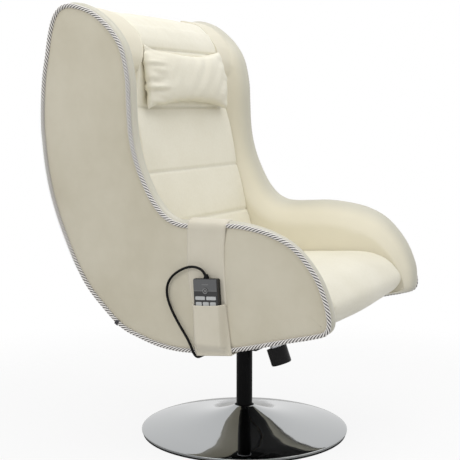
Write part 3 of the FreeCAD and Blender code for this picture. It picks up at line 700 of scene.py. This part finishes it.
# twisted piping rope in millimetres
ROPE_X = 347  # from the chair's middle
ROPE_R = 6.0
STRANDS = 4
STRAND_R = 2.7
STRAND_OUT = ROPE_R - STRAND_R
LOBE_STEPS = 7
TWIST = 37.0  # length of one full turn of the strands
RINGS_PER_TURN = 16
SUNK = 5.0  # how far the left rope sinks at the front of the arm


def rope_profile():
    """The strands as one closed outline: x, y and how far out of the groove."""
    half_angle = math.pi / STRANDS
    half_gap = STRAND_OUT * math.sin(half_angle)
    groove = STRAND_OUT * math.cos(half_angle) + math.sqrt(STRAND_R ** 2 - half_gap ** 2)
    reach = math.atan2(groove * math.sin(half_angle), groove * math.cos(half_angle) - STRAND_OUT)
    points = []
    for strand in range(STRANDS):
        for step in range(LOBE_STEPS):
            angle = -reach + 2 * reach * step / LOBE_STEPS
            x = STRAND_OUT + STRAND_R * math.cos(angle)
            y = STRAND_R * math.sin(angle)
            crest = (math.hypot(x, y) - groove) / (ROPE_R - groove)
            points.append((*rotated(x, y, 2 * half_angle * strand), crest))
    return points


def even_places(line):
    """Places round a closed line at even distances, as many as the strands' turns need."""
    total = len(line)
    lengths = [0.0]
    for index in range(total):
        lengths.append(lengths[-1] + (line[(index + 1) % total] - line[index]).length)
    rings = round(lengths[-1] / (TWIST * MM)) * RINGS_PER_TURN
    places = []
    at = 0
    for index in range(rings):
        distance = lengths[-1] * index / rings
        while lengths[at + 1] < distance:
            at += 1
        share = (distance - lengths[at]) / (lengths[at + 1] - lengths[at])
        places.append(line[at].lerp(line[(at + 1) % total], share))
    return places


def twisted_rope(name, sign, node):
    """The outline of the strands swept along the seam, turning as it goes."""
    profile = rope_profile()
    per_ring = len(profile)
    seam = []
    for index, (y, z, roll, fall) in enumerate(OUTLINE):
        sunk = SUNK * arm_front(y, z) if sign > 0 else 0.0
        seam.append(Vector((sign * ROPE_X * MM, y * MM, z * MM)) - rim_out[index * FINE] * (sunk * MM))
    places = even_places(smooth_line(seam, 12, True))
    rings = len(places)
    bm = bmesh.new()
    bmesh.ops.create_grid(bm, x_segments=per_ring, y_segments=rings, size=1.0)
    # how far each point stands out of the grooves, which the rope's finish reads to paint shade into the low
    # ones
    lobe = bm.verts.layers.float.new("lobe")
    for vertex in bm.verts:
        step = round((vertex.co.x + 1) / 2 * per_ring) % per_ring
        ring = round((vertex.co.y + 1) / 2 * rings) % rings
        out = turned((places[(ring + 1) % rings] - places[ring - 1]).normalized())
        x, y, crest = profile[step]
        side, rise = rotated(x, y, -2 * math.pi * ring / RINGS_PER_TURN)
        vertex[lobe] = crest
        vertex.co = places[ring] + (Vector((side, 0, 0)) + out * rise) * MM
    bmesh.ops.remove_doubles(bm, verts=bm.verts, dist=0.00001)
    return finish_piece(name, bm, silver_thread, "seat", [node])


twisted_rope("piping_rope_right", -1, "piping_right")
twisted_rope("piping_rope_left", 1, "piping_left")

# bound sleeve over the ends of the piping, low at the back, in millimetres
SLEEVE_PLACE = (197, 356.5)
SLEEVE_SLOPE = (58, 36)
SLEEVE_R = 7.0
SLEEVE_LONG = 9.0
SLEEVE_CUTS = 10
BINDING = 1.8  # from one turn of the binding thread to the next


def rope_joint(name, sign):
    """The sleeve, which swells where the binding thread runs."""
    bm = bmesh.new()
    bmesh.ops.create_cone(bm, segments=28, radius1=SLEEVE_R * MM, radius2=SLEEVE_R * MM,
                          depth=SLEEVE_LONG * MM)
    for cut in range(1, SLEEVE_CUTS):
        height = (cut / SLEEVE_CUTS - 0.5) * SLEEVE_LONG * MM
        bmesh.ops.bisect_plane(bm, geom=bm.verts[:] + bm.edges[:] + bm.faces[:], plane_co=(0, 0, height),
                               plane_no=(0, 0, 1))
    fill_open(bm)
    for vertex in bm.verts:
        turns = (vertex.co.z / MM + SLEEVE_LONG / 2) / BINDING
        bulge = 1.0 + 0.06 * abs(math.sin(turns * math.pi))
        vertex.co.x *= bulge
        vertex.co.y *= bulge
    place = Vector((sign * ROPE_X, *SLEEVE_PLACE)) * MM
    slope = Vector((0, *SLEEVE_SLOPE)).normalized()
    bm.transform(Matrix.Translation(place) @ slope.to_track_quat("Z", "X").to_matrix().to_4x4())
    return finish_piece(name, bm, dark_thread, "seat")


rope_joint("piping_joint_right", -1)
rope_joint("piping_joint_left", 1)

# rear cover and dust cloth: rows of y and z, in millimetres
COVER_HALF = 343  # half width
COVER_FULL = 6.0  # how far the rear cover stands out in its middle
UNDER_LINE = [row[:2] for row in OUTLINE[40:42]]
REAR_LINE = [row[:2] for row in OUTLINE[41:] + OUTLINE[:6]] + [(369, 1157)]
FRONT_LINE = [(-285, 350), (-242, 340), (-193, 329), (-140, 318), (-82, 309), (-24, 304.5), (20, 304.5)]
FRONT_HALF = 272


def cover_sheet(name, line, half, crown, thick, material, node):
    """A cloth pulled over a line of the side outline, a little full in the middle."""
    fine = side_line(line, 5)
    rows = len(fine)
    bm, points = sheet_grid(24, rows)
    for vertex, across, row in points:
        full = crown * (1 - across ** 4) * min(1.0, row / 4, (rows - 1 - row) / 4)
        ripple = lump(across * 3, row * 0.35, 2.0) * 0.0012 * (1 - across ** 2)
        place = Vector((across * half * MM, fine[row].y, fine[row].z))
        vertex.co = place + turned(along(fine, row)) * (full * MM + ripple)
    bmesh.ops.recalc_face_normals(bm, faces=bm.faces)
    bmesh.ops.solidify(bm, geom=bm.faces[:], thickness=thick * MM)
    return finish_piece(name, bm, material, "seat", [node])


rear_sheet = cover_sheet("back_outer_cover", REAR_LINE, COVER_HALF, COVER_FULL, 3.0, side_suede,
                         "rear_cover")
under_sheet = cover_sheet("dust_cover_rear", UNDER_LINE, COVER_HALF, 0.0, 2.0, dust_cloth,
                          "rear_cover")
front_sheet = cover_sheet("dust_cover", FRONT_LINE, FRONT_HALF, 0.0, 1.5, dust_cloth,
                          "underside_cover")

# seat cushion: y and z of its crowned top and rolled nose in millimetres, and its sizes in metres
SEAT_LINE = [(128, 404), (132, 440), (126, 470), (60, 480), (-66, 485), (-149, 490), (-258, 496),
             (-319, 481), (-357, 450), (-369, 424), (-352, 395), (-302, 364), (-270, 356), (-200, 354)]
SEAT_HALF = 0.2735
SEAT_ROUND = 0.020
SEAT_CROWN = 0.011
SEAT_CENTRE = Vector((0, -0.11, 0.42))


def seat_cushion():
    fine = side_line(SEAT_LINE, 10)
    bm, points = sheet_grid(72, len(fine))
    for vertex, across, row in points:
        here = fine[row]
        drop = rounded((1 - abs(across)) * SEAT_HALF, SEAT_ROUND)
        wave = lump(across * 2.2, here.y * 7, here.z * 7) * 0.0016
        lift = SEAT_CROWN * (1 - across ** 2) - drop + wave
        vertex.co = Vector((across * SEAT_HALF, here.y, here.z)) + outward(fine, row, SEAT_CENTRE) * lift
    fill_open(bm)
    return finish_piece("seat_pad", bm, seat_leather, "seat", ["seat_cushion"])


seat_cushion()

# back cushion: y and z of its front, and the heights of its sewn seams, top and foot, in millimetres
BACK_LINE = [(372, 1150), (352, 1163), (318, 1166), (285, 1161), (255, 1149), (228, 1126), (208, 1096),
             (198, 1066), (197, 1030), (195, 985), (193.5, 945), (191, 912), (182.5, 870), (174, 826),
             (165.5, 783), (156.5, 740), (147, 700), (136, 655), (124, 604), (113, 560), (103, 515),
             (97, 488), (94, 470)]
SEAMS = [1066, 912, 740, 604]
BACK_TOP = 1140
BACK_FOOT = 500
SEAM_WIDE = 2.2
SEAM_REACH = 16  # how far from a seam the leather puckers
BACK_SQUEEZE = 1.5  # how much each half is wider than its room
# the rest in metres
BACK_CENTRE = Vector((0, 0.33, 0.80))
BACK_FRONT_Y = 0.23
BACK_ROUND = 0.010
BACK_SIDES = 0.034
TOP_EDGE = (1.12, 0.012)  # height above which the edge turns down instead of back, and how far
PUFF = 0.003
SEAM_DEEP = 0.0035


def channel_at(z):
    """How near a seam a height is, how near its pucker, and how full the channel is there."""
    groove = sum(math.exp(-((z - seam) / SEAM_WIDE) ** 2) for seam in SEAMS)
    near_seam = sum(math.exp(-((z - seam) / SEAM_REACH) ** 2) for seam in SEAMS)
    puff = 0.0
    for top, low in zip([BACK_TOP] + SEAMS, SEAMS + [BACK_FOOT]):
        if low <= z <= top:
            middle = abs(2 * (z - low) / (top - low) - 1)
            puff = 1 - middle ** 2.6
    return groove, near_seam, puff


def back_cushion():
    """A shell with sewn channels, its sides turned back and its back left open."""
    fine = side_line(BACK_LINE, 9)
    bm, points = sheet_grid(120, len(fine))
    for vertex, across, row in points:
        here = fine[row]
        z = here.z / MM
        half = (between(INSIDE, z)[0] + BACK_SQUEEZE) * MM
        groove, near_seam, puff = channel_at(z) if here.y < BACK_FRONT_Y else (0.0, 0.0, 0.0)
        drop = rounded((1 - abs(across)) * half, BACK_ROUND)
        pucker = lump(across * 26, z * 0.02, 4.0) * 0.0007
        wave = lump(across * 2.4, z * 0.011, 7.0) * 0.0014
        crease = lump(across * 6 + z * 0.02, z * 0.03 - across * 3, 1.0) * 0.0010
        lift = PUFF * puff + PUFF * (1 - across ** 2) - SEAM_DEEP * groove - drop + wave
        lift += pucker * near_seam + crease * (0.4 + 1.6 * ease((z - 1070) / 60))
        vertex.co = Vector((across * half, here.y, here.z)) + outward(fine, row, BACK_CENTRE) * lift
    for vertex in among(bmesh.ops.extrude_edge_only(bm, edges=open_edges(bm))):
        if vertex.co.z < TOP_EDGE[0]:
            vertex.co.y += BACK_SIDES
        else:
            vertex.co.z -= TOP_EDGE[1]
    face_away(bm, BACK_CENTRE)
    bmesh.ops.solidify(bm, geom=bm.faces[:], thickness=0.004)
    return finish_piece("back_pad", bm, seat_leather, "seat", ["back_cushion"])


back_cushion()

# head pillow in metres: two layers sewn round the edge, blown up by simulation, gathered at the ends
PILLOW_WIDE = 0.2250
PILLOW_HIGH = 0.0870
PILLOW_THICK = 0.036
PILLOW_LEAN = math.radians(6.5)
PILLOW_CAP = 0.007  # how far the simulation may move a point
PILLOW_PLACE = (0, 0.1865, 0.990)
PILLOW_CLOTH = {"quality": 5, "use_pressure": True, "uniform_pressure_force": 2.2, "tension_stiffness": 12,
                "compression_stiffness": 6, "shear_stiffness": 4, "bending_stiffness": 0.25}


def pillow_layers():
    """The layers as a mesh, the rear one nearly flat, drawn in a little between the corners."""
    bm = bmesh.new()
    bmesh.ops.create_grid(bm, x_segments=96, y_segments=36, size=1.0)
    for vertex in bm.verts:
        u, v = vertex.co.x, vertex.co.y
        pull = 1 - 0.20 * (1 - u * u) * abs(v)
        side_pull = 1 + 0.006 * (1 - v * v) * abs(u) - 0.055 * max(0.0, v) ** 2 * abs(u)
        crown = (max(0.0, 1 - abs(u) ** 3.2) * max(0.0, 1 - abs(v) ** 2.4)) ** 0.55
        thick = crown * PILLOW_THICK + 0.001
        vertex.co = Vector((u * PILLOW_WIDE * side_pull, v * PILLOW_HIGH * pull, thick))
    for vertex in among(bmesh.ops.duplicate(bm, geom=bm.verts[:] + bm.edges[:] + bm.faces[:])):
        vertex.co.z *= -0.12
    bmesh.ops.bridge_loops(bm, edges=open_edges(bm))
    bmesh.ops.recalc_face_normals(bm, faces=bm.faces)
    return mesh_of(bm, "pillow")


def blown_up(mesh):
    """Where a short cloth simulation under pressure moves a mesh's points, up to a limit."""
    blown = added("blown", mesh)
    cloth = blown.modifiers.new("cloth", "CLOTH")
    for key, value in PILLOW_CLOTH.items():
        setattr(cloth.settings, key, value)
    cloth.settings.effector_weights.gravity = 0
    cloth.collision_settings.use_collision = False
    cloth.collision_settings.use_self_collision = False
    for step in range(1, 16):
        scene.frame_set(step)
    places = []
    graph = bpy.context.evaluated_depsgraph_get()
    for before, after in zip(mesh.vertices, blown.evaluated_get(graph).data.vertices):
        move = after.co - before.co
        if move.length > PILLOW_CAP:
            move *= PILLOW_CAP / move.length
        places.append(before.co + move)
    scene.frame_set(1)
    bpy.data.objects.remove(blown)
    return places


def gathers(x, y):
    """Folds in the leather: fanned at the ends, tucked along the seams, slanting between."""
    row = y / PILLOW_HIGH
    end = ease((abs(x) - 0.118) / 0.085) * (1.0 if x < 0 else 0.5)
    fan = lump(math.copysign(1.7, x), row * 4.6, abs(x) * 9.0)
    fine = lump(math.copysign(4.2, x), row * 9.5 + x * 12, abs(x) * 16.0)
    seam = ease((abs(row) - 0.72) / 0.25)
    tuck = lump(x * 60, math.copysign(2.3, y), 5.0)
    slant = lump((x - y) * 26, (x + y) * 7, 9.0)
    rim = 1 - ease((max(abs(x) / PILLOW_WIDE, abs(row)) - 0.93) / 0.07)
    move = (fan * 0.0085 + fine * 0.0042) * end + tuck * 0.0016 * seam + slant * 0.0022
    return move * (0.25 + 0.75 * rim)


def head_pillow():
    mesh = pillow_layers()
    for vertex, place in zip(mesh.vertices, blown_up(mesh)):
        vertex.co = place
    bm = bmesh.new()
    bm.from_mesh(mesh)
    bpy.data.meshes.remove(mesh)
    bm.normal_update()
    place = Matrix.Translation(PILLOW_PLACE) @ Matrix.Rotation(-PILLOW_LEAN, 4, "X")
    moved = [vertex.co + vertex.normal * gathers(vertex.co.x, vertex.co.y) for vertex in bm.verts]
    for vertex, there in zip(bm.verts, moved):
        vertex.co = place @ Vector((there.x, -there.z, there.y))
    return finish_piece("head_pillow", bm, seat_leather, "pillow", ["headrest_pillow"])


head_pillow()

# spun disc in millimetres: radius and height from rim to neck, and its thickness
DISC_LINE = [(288, 5), (290, 9), (286, 13), (250, 20.2), (200, 28.2), (150, 36.8), (105, 46.4), (66, 57.6),
             (42, 66.5), (31, 72), (27.5, 75.5)]
DISC_BORE = 26.8
DISC_THIN = (1.2, 1.4)


def spun_disc():
    """The disc's profile turned once round the column."""
    top = smooth_line([(radius * MM, 0, z * MM) for radius, z in DISC_LINE], 6)
    under = [Vector((max(DISC_BORE * MM, p.x - DISC_THIN[0] * MM), 0, p.z - DISC_THIN[1] * MM))
             for p in reversed(top)]
    bm = bmesh.new()
    fine = [bm.verts.new(place) for place in top + under + [top[0]]]
    edges = [bm.edges.new(pair) for pair in zip(fine, fine[1:])]
    bmesh.ops.spin(bm, geom=fine + edges, cent=(0, 0, 0), axis=(0, 0, 1), angle=2 * math.pi, steps=160,
                   use_merge=True)
    bmesh.ops.remove_doubles(bm, verts=bm.verts, dist=0.00001)
    return finish_piece("spun_disc", bm, chrome, "base", ["base_disc"])


spun_disc()

# strap over the right arm in millimetres: its line round the arm as x and z
STRAP_THICK = 2.2
STRAP_LINE = [(-272.2, 518), (-272.2, 555), (-272.6, 588), (-277, 604), (-290, 615.5), (-304, 626.0),
              (-315, 633.2), (-325, 636.6), (-336, 636), (-346, 631.8), (-351.6, 627), (-353.6, 618),
              (-352.2, 600), (-351.6, 570), (-351.4, 480), (-351.4, 380), (-351.8, 322), (-353.4, 310),
              (-351.5, 300), (-345, 296.8), (-322, 297.5), (-300, 300.5)]
# edges of the strap by height: z, rear edge y, front edge y
STRAP_EDGES = [(296, -38, -139), (318, -33.5, -137), (410, -31, -126), (434, -27, -124), (470, -18, -121),
               (523, -14, -118.5), (578, -13.5, -117.5), (620, -15.5, -122), (645, -16, -126)]
STRAP_WIDE = 104
ARM_INSIDE = (-16, 107)  # rear edge and width of the strap inside the arm
ARM_CENTRE = Vector((-0.31, -0.07, 0.46))


def between_edges(z, u):
    """Place across the strap at a height, from its rear edge at 0 to its front edge at 1."""
    rear, front = between(STRAP_EDGES, z)
    return rear + (front - rear) * u


def strap_relief(y, z, edge):
    """Hem, stitching and soft folds in millimetres, at a place and a distance from the strap's edge."""
    hem = 0.5 * math.exp(-(edge / 7) ** 4) - 3.2 * math.exp(-(edge / 2.6) ** 2)
    stitch = -0.5 * math.exp(-((edge - 9) / 1.6) ** 2)
    soft = lump(y * 0.045, z * 16, 3.0) * 1.5
    fold = lump(y * 0.02 + z * 8, z * 40, 8.0) * 0.6
    calm = ease((z - 0.32) / 0.05) * ease((0.60 - z) / 0.05)
    return hem + stitch + (max(0.0, soft) + fold * 0.5) * calm


def pocket_strap():
    fine = smooth_line([(x * MM, 0, z * MM) for x, z in STRAP_LINE], 6)
    bm, points = sheet_grid(60, len(fine))
    for vertex, across, row in points:
        u = (across + 1) / 2
        here = fine[row]
        y = between_edges(here.z / MM, u)
        if here.x > ARM_CENTRE.x and here.z > 0.4:
            y = ARM_INSIDE[0] - ARM_INSIDE[1] * u
        tangent = along(fine, row)
        out = Vector((tangent.z, 0, -tangent.x))
        if out.dot(here - Vector((ARM_CENTRE.x, 0, ARM_CENTRE.z))) < 0:
            out = -out
        drop = 0.0
        if here.z < 0.33 and here.x < -0.29:
            drop = (-y - 38) * 0.10 * ease((0.33 - here.z) / 0.03)
        place = Vector((here.x, y * MM, here.z + drop * MM))
        relief = strap_relief(y, here.z, min(u, 1 - u) * STRAP_WIDE)
        vertex.co = place + out * ((relief + STRAP_THICK) * MM)
    face_away(bm, ARM_CENTRE)
    bmesh.ops.solidify(bm, geom=bm.faces[:], thickness=STRAP_THICK * MM)
    return finish_piece("pocket_strap", bm, strap_suede, "seat", ["remote_pocket"])


pocket_strap()

# pocket in millimetres: one layer over the hand control, sewn to the strap at its sides and foot
POCKET_TOP = 430.0
POCKET_FOOT = 300.0
POCKET_X = 354.8
POCKET_OUT = 24.0  # how far the hand control holds the pocket off the strap
POCKET_THICK = 1.6
POCKET_ROWS = 41
CONTROL_LINE = (-77.0, 460.0, -0.061)  # the hand control's y, at which height, and its lean
CONTROL_HALF = 32.5
SLACK = 15.0  # from the hand control's edge to where the pocket lies on the strap
MOUTH_LEAN = 7.0  # how far the front of its mouth is above the rear
FOOT_LEAN = 10.0  # and of its foot


def pocket():
    bm, points = sheet_grid(44, POCKET_ROWS)
    for vertex, across, row in points:
        u = (across + 1) / 2
        v = row / (POCKET_ROWS - 1)
        z = POCKET_FOOT + (POCKET_TOP - POCKET_FOOT) * v
        y = between_edges(z, u)
        z += (u - 0.5) * (MOUTH_LEAN * v + FOOT_LEAN * (1 - v) * ease((0.25 - v) / 0.25))
        control = CONTROL_LINE[0] - (z - CONTROL_LINE[1]) * CONTROL_LINE[2]
        over = 1 - ease((abs(y - control) - CONTROL_HALF) / SLACK)
        low = ease((v - 0.02) / 0.24)
        side_round = rounded(min(u, 1 - u) * STRAP_WIDE, 5.0) * 0.45
        soft = lump(u * 3.0, v * 3.5, 2.0) * 1.1
        soft += lump(u * 9, v * 5, 6.0) * 0.4
        lip = 0.8 * math.exp(-((1 - v) * 127 / 6) ** 4)
        sag = -1.4 * math.exp(-((u - 0.5) / 0.3) ** 2) * v ** 6
        x = POCKET_X + POCKET_OUT * over * low + soft * low - side_round + lip
        vertex.co = Vector((-x, y, z + sag)) * MM
    face_away(bm, ARM_CENTRE)
    bmesh.ops.solidify(bm, geom=bm.faces[:], thickness=POCKET_THICK * MM)
    return finish_piece("pocket_layer", bm, strap_suede, "seat", ["pocket_pouch"])


pocket()

# control cord: its route in millimetres, from the gland to the grommet, and its thickness in metres
ROUTE = [(-365.1, -74.74, 486.0), (-365.1, -72.91, 510.9), (-364.5, -38, 524), (-362.5, 3, 510),
         (-360.5, 36, 482), (-359.5, 43, 447), (-359.5, 29, 408), (-359.5, 4, 368), (-359.8, -23, 331),
         (-360.0, -40, 290), (-317, -41, 289), (-262, -39, 291), (-256, -36, 328)]
CORD_D = 0.0065


def cord_line():
    """The middle line of the control cord through its route, in fine steps."""
    curve = bpy.data.curves.new("cord_line", "CURVE")
    curve.dimensions = "3D"
    spline = curve.splines.new("NURBS")
    spline.points.add(len(ROUTE) - 1)
    for spot, (x, y, z) in zip(spline.points, ROUTE):
        spot.co = (x * MM, y * MM, z * MM, 1)
    spline.order_u = 3
    spline.use_endpoint_u = True
    spline.resolution_u = 14
    return points_of(curve)


def cord_tube(path):
    """A circle extruded along a line."""
    bm = bmesh.new()
    bmesh.ops.create_circle(bm, segments=14, radius=CORD_D / 2)
    circle = [vertex.co.copy() for vertex in bm.verts]
    ring = bm.verts[:]
    edges = bm.edges[:]
    side = Vector((1, 0, 0))
    for index, place in enumerate(path):
        ahead = along(path, index)
        side = (side - ahead * ahead.dot(side)).normalized()
        if index:
            made = bmesh.ops.extrude_edge_only(bm, edges=edges)
            ring = among(made)
            edges = among(made, bmesh.types.BMEdge)
        for vertex, flat in zip(ring, circle):
            vertex.co = place + side * flat.x + ahead.cross(side) * flat.y
    fill_open(bm)
    return finish_piece("control_cord", bm, cord_rubber, None, ["handset_cord"])


cord_path = cord_line()
control_cord = cord_tube(cord_path)
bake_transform(control_cord)


def finish_rigid_pieces():
    slot_of = {row["node"]: row["material_slot"] for row in frame["record"]["subparts"]}
    for node, piece in frame["nodes"].items():
        piece.data.materials.clear()
        piece.data.materials.append(OWN.get(node, FINISHES[slot_of[node]]))


finish_rigid_pieces()
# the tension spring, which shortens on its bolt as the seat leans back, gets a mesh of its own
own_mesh(frame["nodes"]["tension_spring"])

# studio: floor, lamps, world and camera
WHITE = (1, 1, 1, 1)
FLOOR_GREY = (0.74, 0.74, 0.74, 1)
FLOOR_SEEN = 0.88  # how much of the floor the camera sees as plain white
WORLD_LIGHT = 0.55


def studio_floor():
    """A grey floor that is nearly white to the camera and fades out far from the chair."""
    bm = bmesh.new()
    bmesh.ops.create_grid(bm, x_segments=1, y_segments=1, size=6.0)
    mesh = mesh_of(bm, "studio_floor")
    finish = Finish("studio_floor", FLOOR_GREY, 0.9)
    across = finish.axis("X")
    back = finish.axis("Y")
    far = (across * across + back * back).above(1.6, 1.1)
    matte = Reading(finish, finish.shader.outputs[0])
    white = finish.add("Emission", {}, {})
    clear = finish.add("BsdfTransparent", {}, {})
    near = finish.mixed(finish.ray("Is Camera Ray") * FLOOR_SEEN, matte, white)
    finish.show(finish.mixed(far, near, clear), "Material Output")
    mesh.materials.append(finish.material)
    floor = added("studio_floor", mesh)
    floor.location.z = -0.5 * MM


def lamp(name, place, aim_height, side, power):
    """A square lamp that points at the chair's axis."""
    light = bpy.data.lights.new(name, "AREA")
    light.energy = power
    light.size = side
    holder = added(name, light)
    holder.location = place
    aim = Vector((0, 0, aim_height)) - Vector(place)
    holder.rotation_euler = aim.to_track_quat("-Z", "Y").to_euler()


def studio_world():
    """White where it is seen or mirrored, and a softer light on the chair."""
    world = bpy.data.worlds.new("studio")
    scene.world = world
    world.use_nodes = True
    nodes = Nodes(world.node_tree)
    mirrored = nodes.ray("Is Glossy Ray").larger(nodes.ray("Is Transmission Ray"))
    seen = nodes.ray("Is Camera Ray").larger(mirrored)
    soft = nodes.add("Background", {}, [WHITE, WORLD_LIGHT])
    white = nodes.add("Background", {}, [WHITE, 1.0])
    nodes.show(nodes.mixed(seen, soft, white), "World Output")


# camera: side of the photograph and focal length in pixels, place and direction
PICTURE_SIDE = 460
FOCAL = 1038.7263
CAMERA_PLACE = (-2.57928932, -1.26335288, 0.90897923)
CAMERA_AIM = Vector((0.8856557, 0.44947032, -0.11657864))


def studio_camera():
    data = bpy.data.cameras.new("camera")
    data.lens = FOCAL / PICTURE_SIDE * data.sensor_width
    camera = added("camera", data)
    camera.location = CAMERA_PLACE
    camera.rotation_euler = CAMERA_AIM.to_track_quat("-Z", "Y").to_euler()
    scene.camera = camera


studio_floor()
lamp("front_softbox", (1.6, -2.6, 2.6), 0.7, 2.0, 10)
lamp("side_softbox", (-3.0, 0.2, 2.2), 0.7, 2.0, 28)
lamp("top_softbox", (-0.1, -0.5, 3.2), 0.6, 2.4, 37)
studio_world()
studio_camera()
scene.view_settings.view_transform = "Standard"
